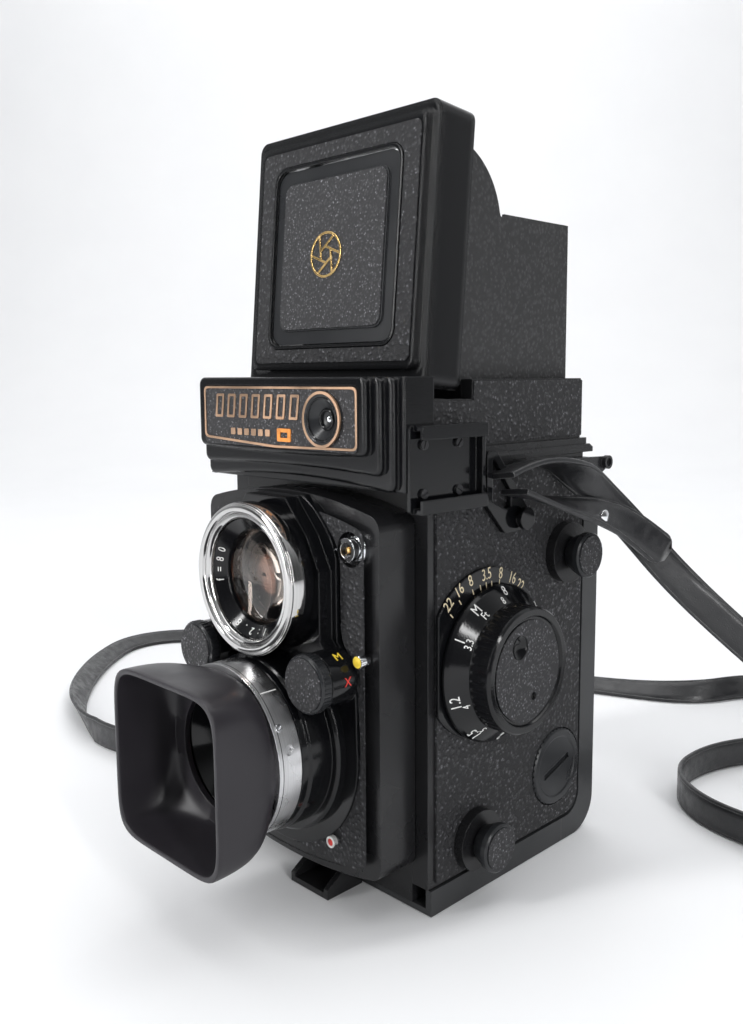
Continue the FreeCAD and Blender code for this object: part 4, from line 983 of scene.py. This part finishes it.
def viewing_lens_details():
    """Bright ring, numbers, baffle and inner element of the viewing lens."""
    bright = [(19.6, 4.4), (19.65, 1.0), (19.4, 0.3), (18.9, -0.15), (18.2, -0.3), (17.5, -0.15),
              (17.1, 0.3), (16.95, 0.8), (16.7, 0.45), (16.1, 0.4), (15.6, 0.8), (15.3, 1.5),
              (15.3, 2.1), (16.9, 0.9), (17.6, -0.02), (19.0, -0.02), (19.52, 0.6), (19.5, 4.4)]
    turned("viewing_ring", bright, "y", AXIS_VIEW, RING_FRONT, "standard", "viewing_ring",
           128)
    meshes = []
    slope = degrees(atan2(3.6, 4.4))
    for words, start in (("f=80", 190.0), ("1:2.8", -70.0)):
        for n, letter in enumerate(words):
            spot = round_the("y", AXIS_VIEW, 14.0, RING_FRONT + 3.2, start - 11.5 * n, slope)
            meshes.append(text_mesh(letter, 2.9, spot, 0.08, 0.85))
    piece("viewing_numbers", merged(meshes), "standard", "white")
    element = [(0.01, 0.4), (4.0, 0.9), (8.0, 2.4), (10.4, 4.2), (10.4, 5), (0.01, 5)]
    baffle = [(14.4, 0.2), (10.2, 0.2), (9.6, 1.6), (14.4, 1.6)]
    inner_lens("viewing", AXIS_VIEW, RING_FRONT + 9.5, element, baffle)


def taking_lens_details():
    """Baffle and inner element behind the taking lens."""
    element = [(0.01, 1.2), (3.5, 1.6), (7.2, 3.0), (7.2, 4), (0.01, 4)]
    baffle = [(14.4, 0), (8.4, 0.6), (7.4, 2.2), (14.4, 2.2)]
    inner_lens("taking", AXIS_TAKE, high("taking_lens_glass", "y") + 0.6, element, baffle)


def socket_contact():
    """The gilt centre of the flash socket and the ring that insulates it."""
    y = low("flash_sync_socket", "y")
    pin = [(0.01, 0.3), (0.7, 0.4), (0.95, 0.9), (0.95, 2.4), (0.01, 2.4)]
    turned("socket_contact", pin, "y", SOCKET, y, "standard", "gold", 32, False)
    insulator = [(1.85, 1.2), (1.85, 2.4), (1.1, 2.4), (1.1, 1.2)]
    turned("socket_insulator", insulator, "y", SOCKET, y, "standard", "gloss", 48)


def screen_lines():
    """Framing lines on the focusing screen."""
    plane = top(SCREEN_TOP)
    bars = [rectangle(-27.5, 27.5, a - 0.12, a + 0.12, 0.05, 2) for a in (-18.0, 0.0, 18.0)]
    bars += [rectangle(a - 0.12, a + 0.12, -20.0, 27.5, 0.05, 2) for a in (-18.0, 0.0, 18.0)]
    meshes = [plate_mesh([bar], 0.05, plane @ Matrix.Translation((0, 3.7 * MM, 0.01 * MM * n)))
              for n, bar in enumerate(bars)]
    piece("screen_lines", merged(meshes), "camera_body", "film")


def crank_trim():
    """A leather disc on the crank's hub."""
    profile = [(0.01, 3.2), (4.6, 3.2), (5.4, 3.5), (5.6, 4.4), (0.01, 4.4)]
    turned("crank_hub_disc", profile, "x", spot_of("crank_plate", "yz"), low("crank_arm", "x"), "crank",
           "leather_fine", 64, False)


# ---- strap ends ----
def flat_end(name, route, faces):
    """A short flat strap with a rounded tip. Its face turns from the first of faces to the second."""
    points = spline_points(route)
    lengths = run_lengths(points)
    whole = lengths[-1]
    spots = [faces[0] * (1 - run / whole) + faces[1] * run / whole for run in lengths]
    mesh = swept(points, spots, strap_section())
    ahead = (points[-1] - points[-2]).normalized()
    tip = points[-1]
    reach = STRAP_WIDTH / 2 * MM
    across = ahead.cross((spots[-1] - ahead * spots[-1].dot(ahead)).normalized())
    for vertex in mesh.vertices:
        offset = vertex.co - tip
        along = offset.dot(ahead)
        if along > -reach:
            sideways = offset.dot(across) / reach
            squeeze = sqrt(max(0.0, 1 - sideways * sideways)) * reach
            vertex.co += ahead * (min(along, squeeze - reach) - along)
    return piece(name, mesh, "camera_body", "strap", crease=60)


def strap_tails():
    """The doubled back free ends at both clips, and the bright stud that holds one."""
    right_route = [(46.2, -12, 108.2), (47.6, -4, 105.6), (49.4, 8, 102.5), (51.6, 20, 100.2),
                   (54.6, 32, 95.5), (60.3, 41.5, 86.2)]
    upright = Vector((-0.1, 0, 0.99))
    outward = Vector((0.93, -0.36, 0))
    right_tail = flat_end("strap_tail_right", right_route, (upright, outward))
    left_route = [(-48.4, -10.5, 110), (-50.5, -10.5, 107.3), (-53, -10.5, 104), (-56, -10.5, 100.4)]
    leaning = Vector((-0.78, 0, 0.62))
    left_tail = flat_end("strap_tail_left", left_route, (leaning, leaning))
    profile = [(0.01, 54.2), (1.2, 54.1), (1.9, 53.6), (2.0, 53.0), (1.4, 52.9), (1.4, 51.0), (0.01, 51.0)]
    stud = turned("strap_stud", profile, "x", (19.0, 99.2), 0, "camera_body", "chrome",
                  48, False)
    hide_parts("strap_ends")
    return [right_tail, left_tail, stud]


# ---- stage and light ----
def make_stage():
    """A pale floor that curves up into a backdrop."""
    near, far, bend, height, half = -2.2, 0.9, 0.8, 3.2, 3.4
    profile = [(near, 0.0), (far, 0.0)]
    for n in range(1, 17):
        turn = radians(90 * n / 16)
        profile.append((far + bend * sin(turn), bend - bend * cos(turn)))
    profile.append((far + bend, height))
    ahead = Vector((-sin(VIEW_YAW), cos(VIEW_YAW), 0))
    across = Vector((ahead.y, -ahead.x, 0))
    rows = []
    for distance, rise in profile:
        spot = ahead * distance + Z * (rise - 0.0002)
        rows.append([spot - across * half, spot + across * half])
    mesh = ring_mesh(rows, around=False)
    mesh.shade_smooth()
    finish = Finish("backdrop_paper", (0.86, 0.865, 0.875), 0.75)
    mottle = finish.noise(9, 3.0)
    finish.give(Base_Color=finish.blend(mottle, (0.84, 0.845, 0.86), (0.88, 0.885, 0.895)),
                Normal=finish.bump(finish.noise(900, 3.0), 0.02))
    mesh.materials.append(finish.material)
    in_scene("stage", mesh)


def area_light(name, place, aim, size, power, tint=(1, 1, 1)):
    """A soft square light."""
    data = bpy.data.lights.new(name, "AREA")
    data.shape = "RECTANGLE"
    data.size = size[0]
    data.size_y = size[1]
    data.energy = power
    data.color = tint
    light = in_scene(name, data)
    light.location = place
    light.rotation_euler = (Vector(aim) - Vector(place)).to_track_quat("-Z", "Y").to_euler()


def make_room():
    """A room that lights the object from behind and overhead, and looks pale from every side."""
    world = bpy.data.worlds.new("room")
    world.use_nodes = True
    room = Nodes(world.node_tree, "Generated")
    behind = room.vector("DOT_PRODUCT", room.place, (-0.62, 0.78, 0.0))
    overhead = room.vector("DOT_PRODUCT", room.place, (0.0, 0.0, 1.0))
    total = room.math("ADD", room.ramp(behind, -0.2, 0.75, 0.05, 0.95),
                      room.ramp(overhead, 0.25, 1.0, 0.05, 0.5))
    seen = room.node("LightPath", "Is Camera Ray", {})
    background = world.node_tree.nodes["Background"]
    room.feed(background.inputs["Color"], (0.97, 0.985, 1.0))
    room.feed(background.inputs["Strength"], room.node("Mix", 0, {0: seen, 2: total, 3: 0.95}))
    bpy.context.scene.world = world


def make_lights():
    """Softboxes in front, on the right, overhead and on the backdrop, in a studio room."""
    target = (0, 0, 0.09)
    area_light("key", (-0.4, -1.0, 0.55), target, (0.14, 1.1), 10)
    area_light("narrow", (1.05, -0.35, 0.45), target, (0.09, 0.9), 6)
    area_light("overhead", (0.0, 0.3, 1.6), target, (1.6, 1.6), 12.5)
    area_light("backdrop", (-0.35, 0.35, 1.7), (-1.1, 1.1, 1.5), (1.4, 0.7), 15)
    make_room()
    bpy.context.scene.view_settings.view_transform = "Standard"


# ---- everything together ----
def main():
    make_camera()
    strap, route = make_strap()
    tails = strap_tails()
    paint_nodes()
    for build in (panel_leather, lid_leather, emblem, box_leather, door_leather, nameplate_trim, meter_eye,
                  dial_faces, lever_tips, depth_marks, distance_marks, knob_face, screws, clamp_details,
                  viewing_lens_details, taking_lens_details, socket_contact, screen_lines, crank_trim,
                  full_shade):
        build()
    make_stage()
    make_lights()


main()
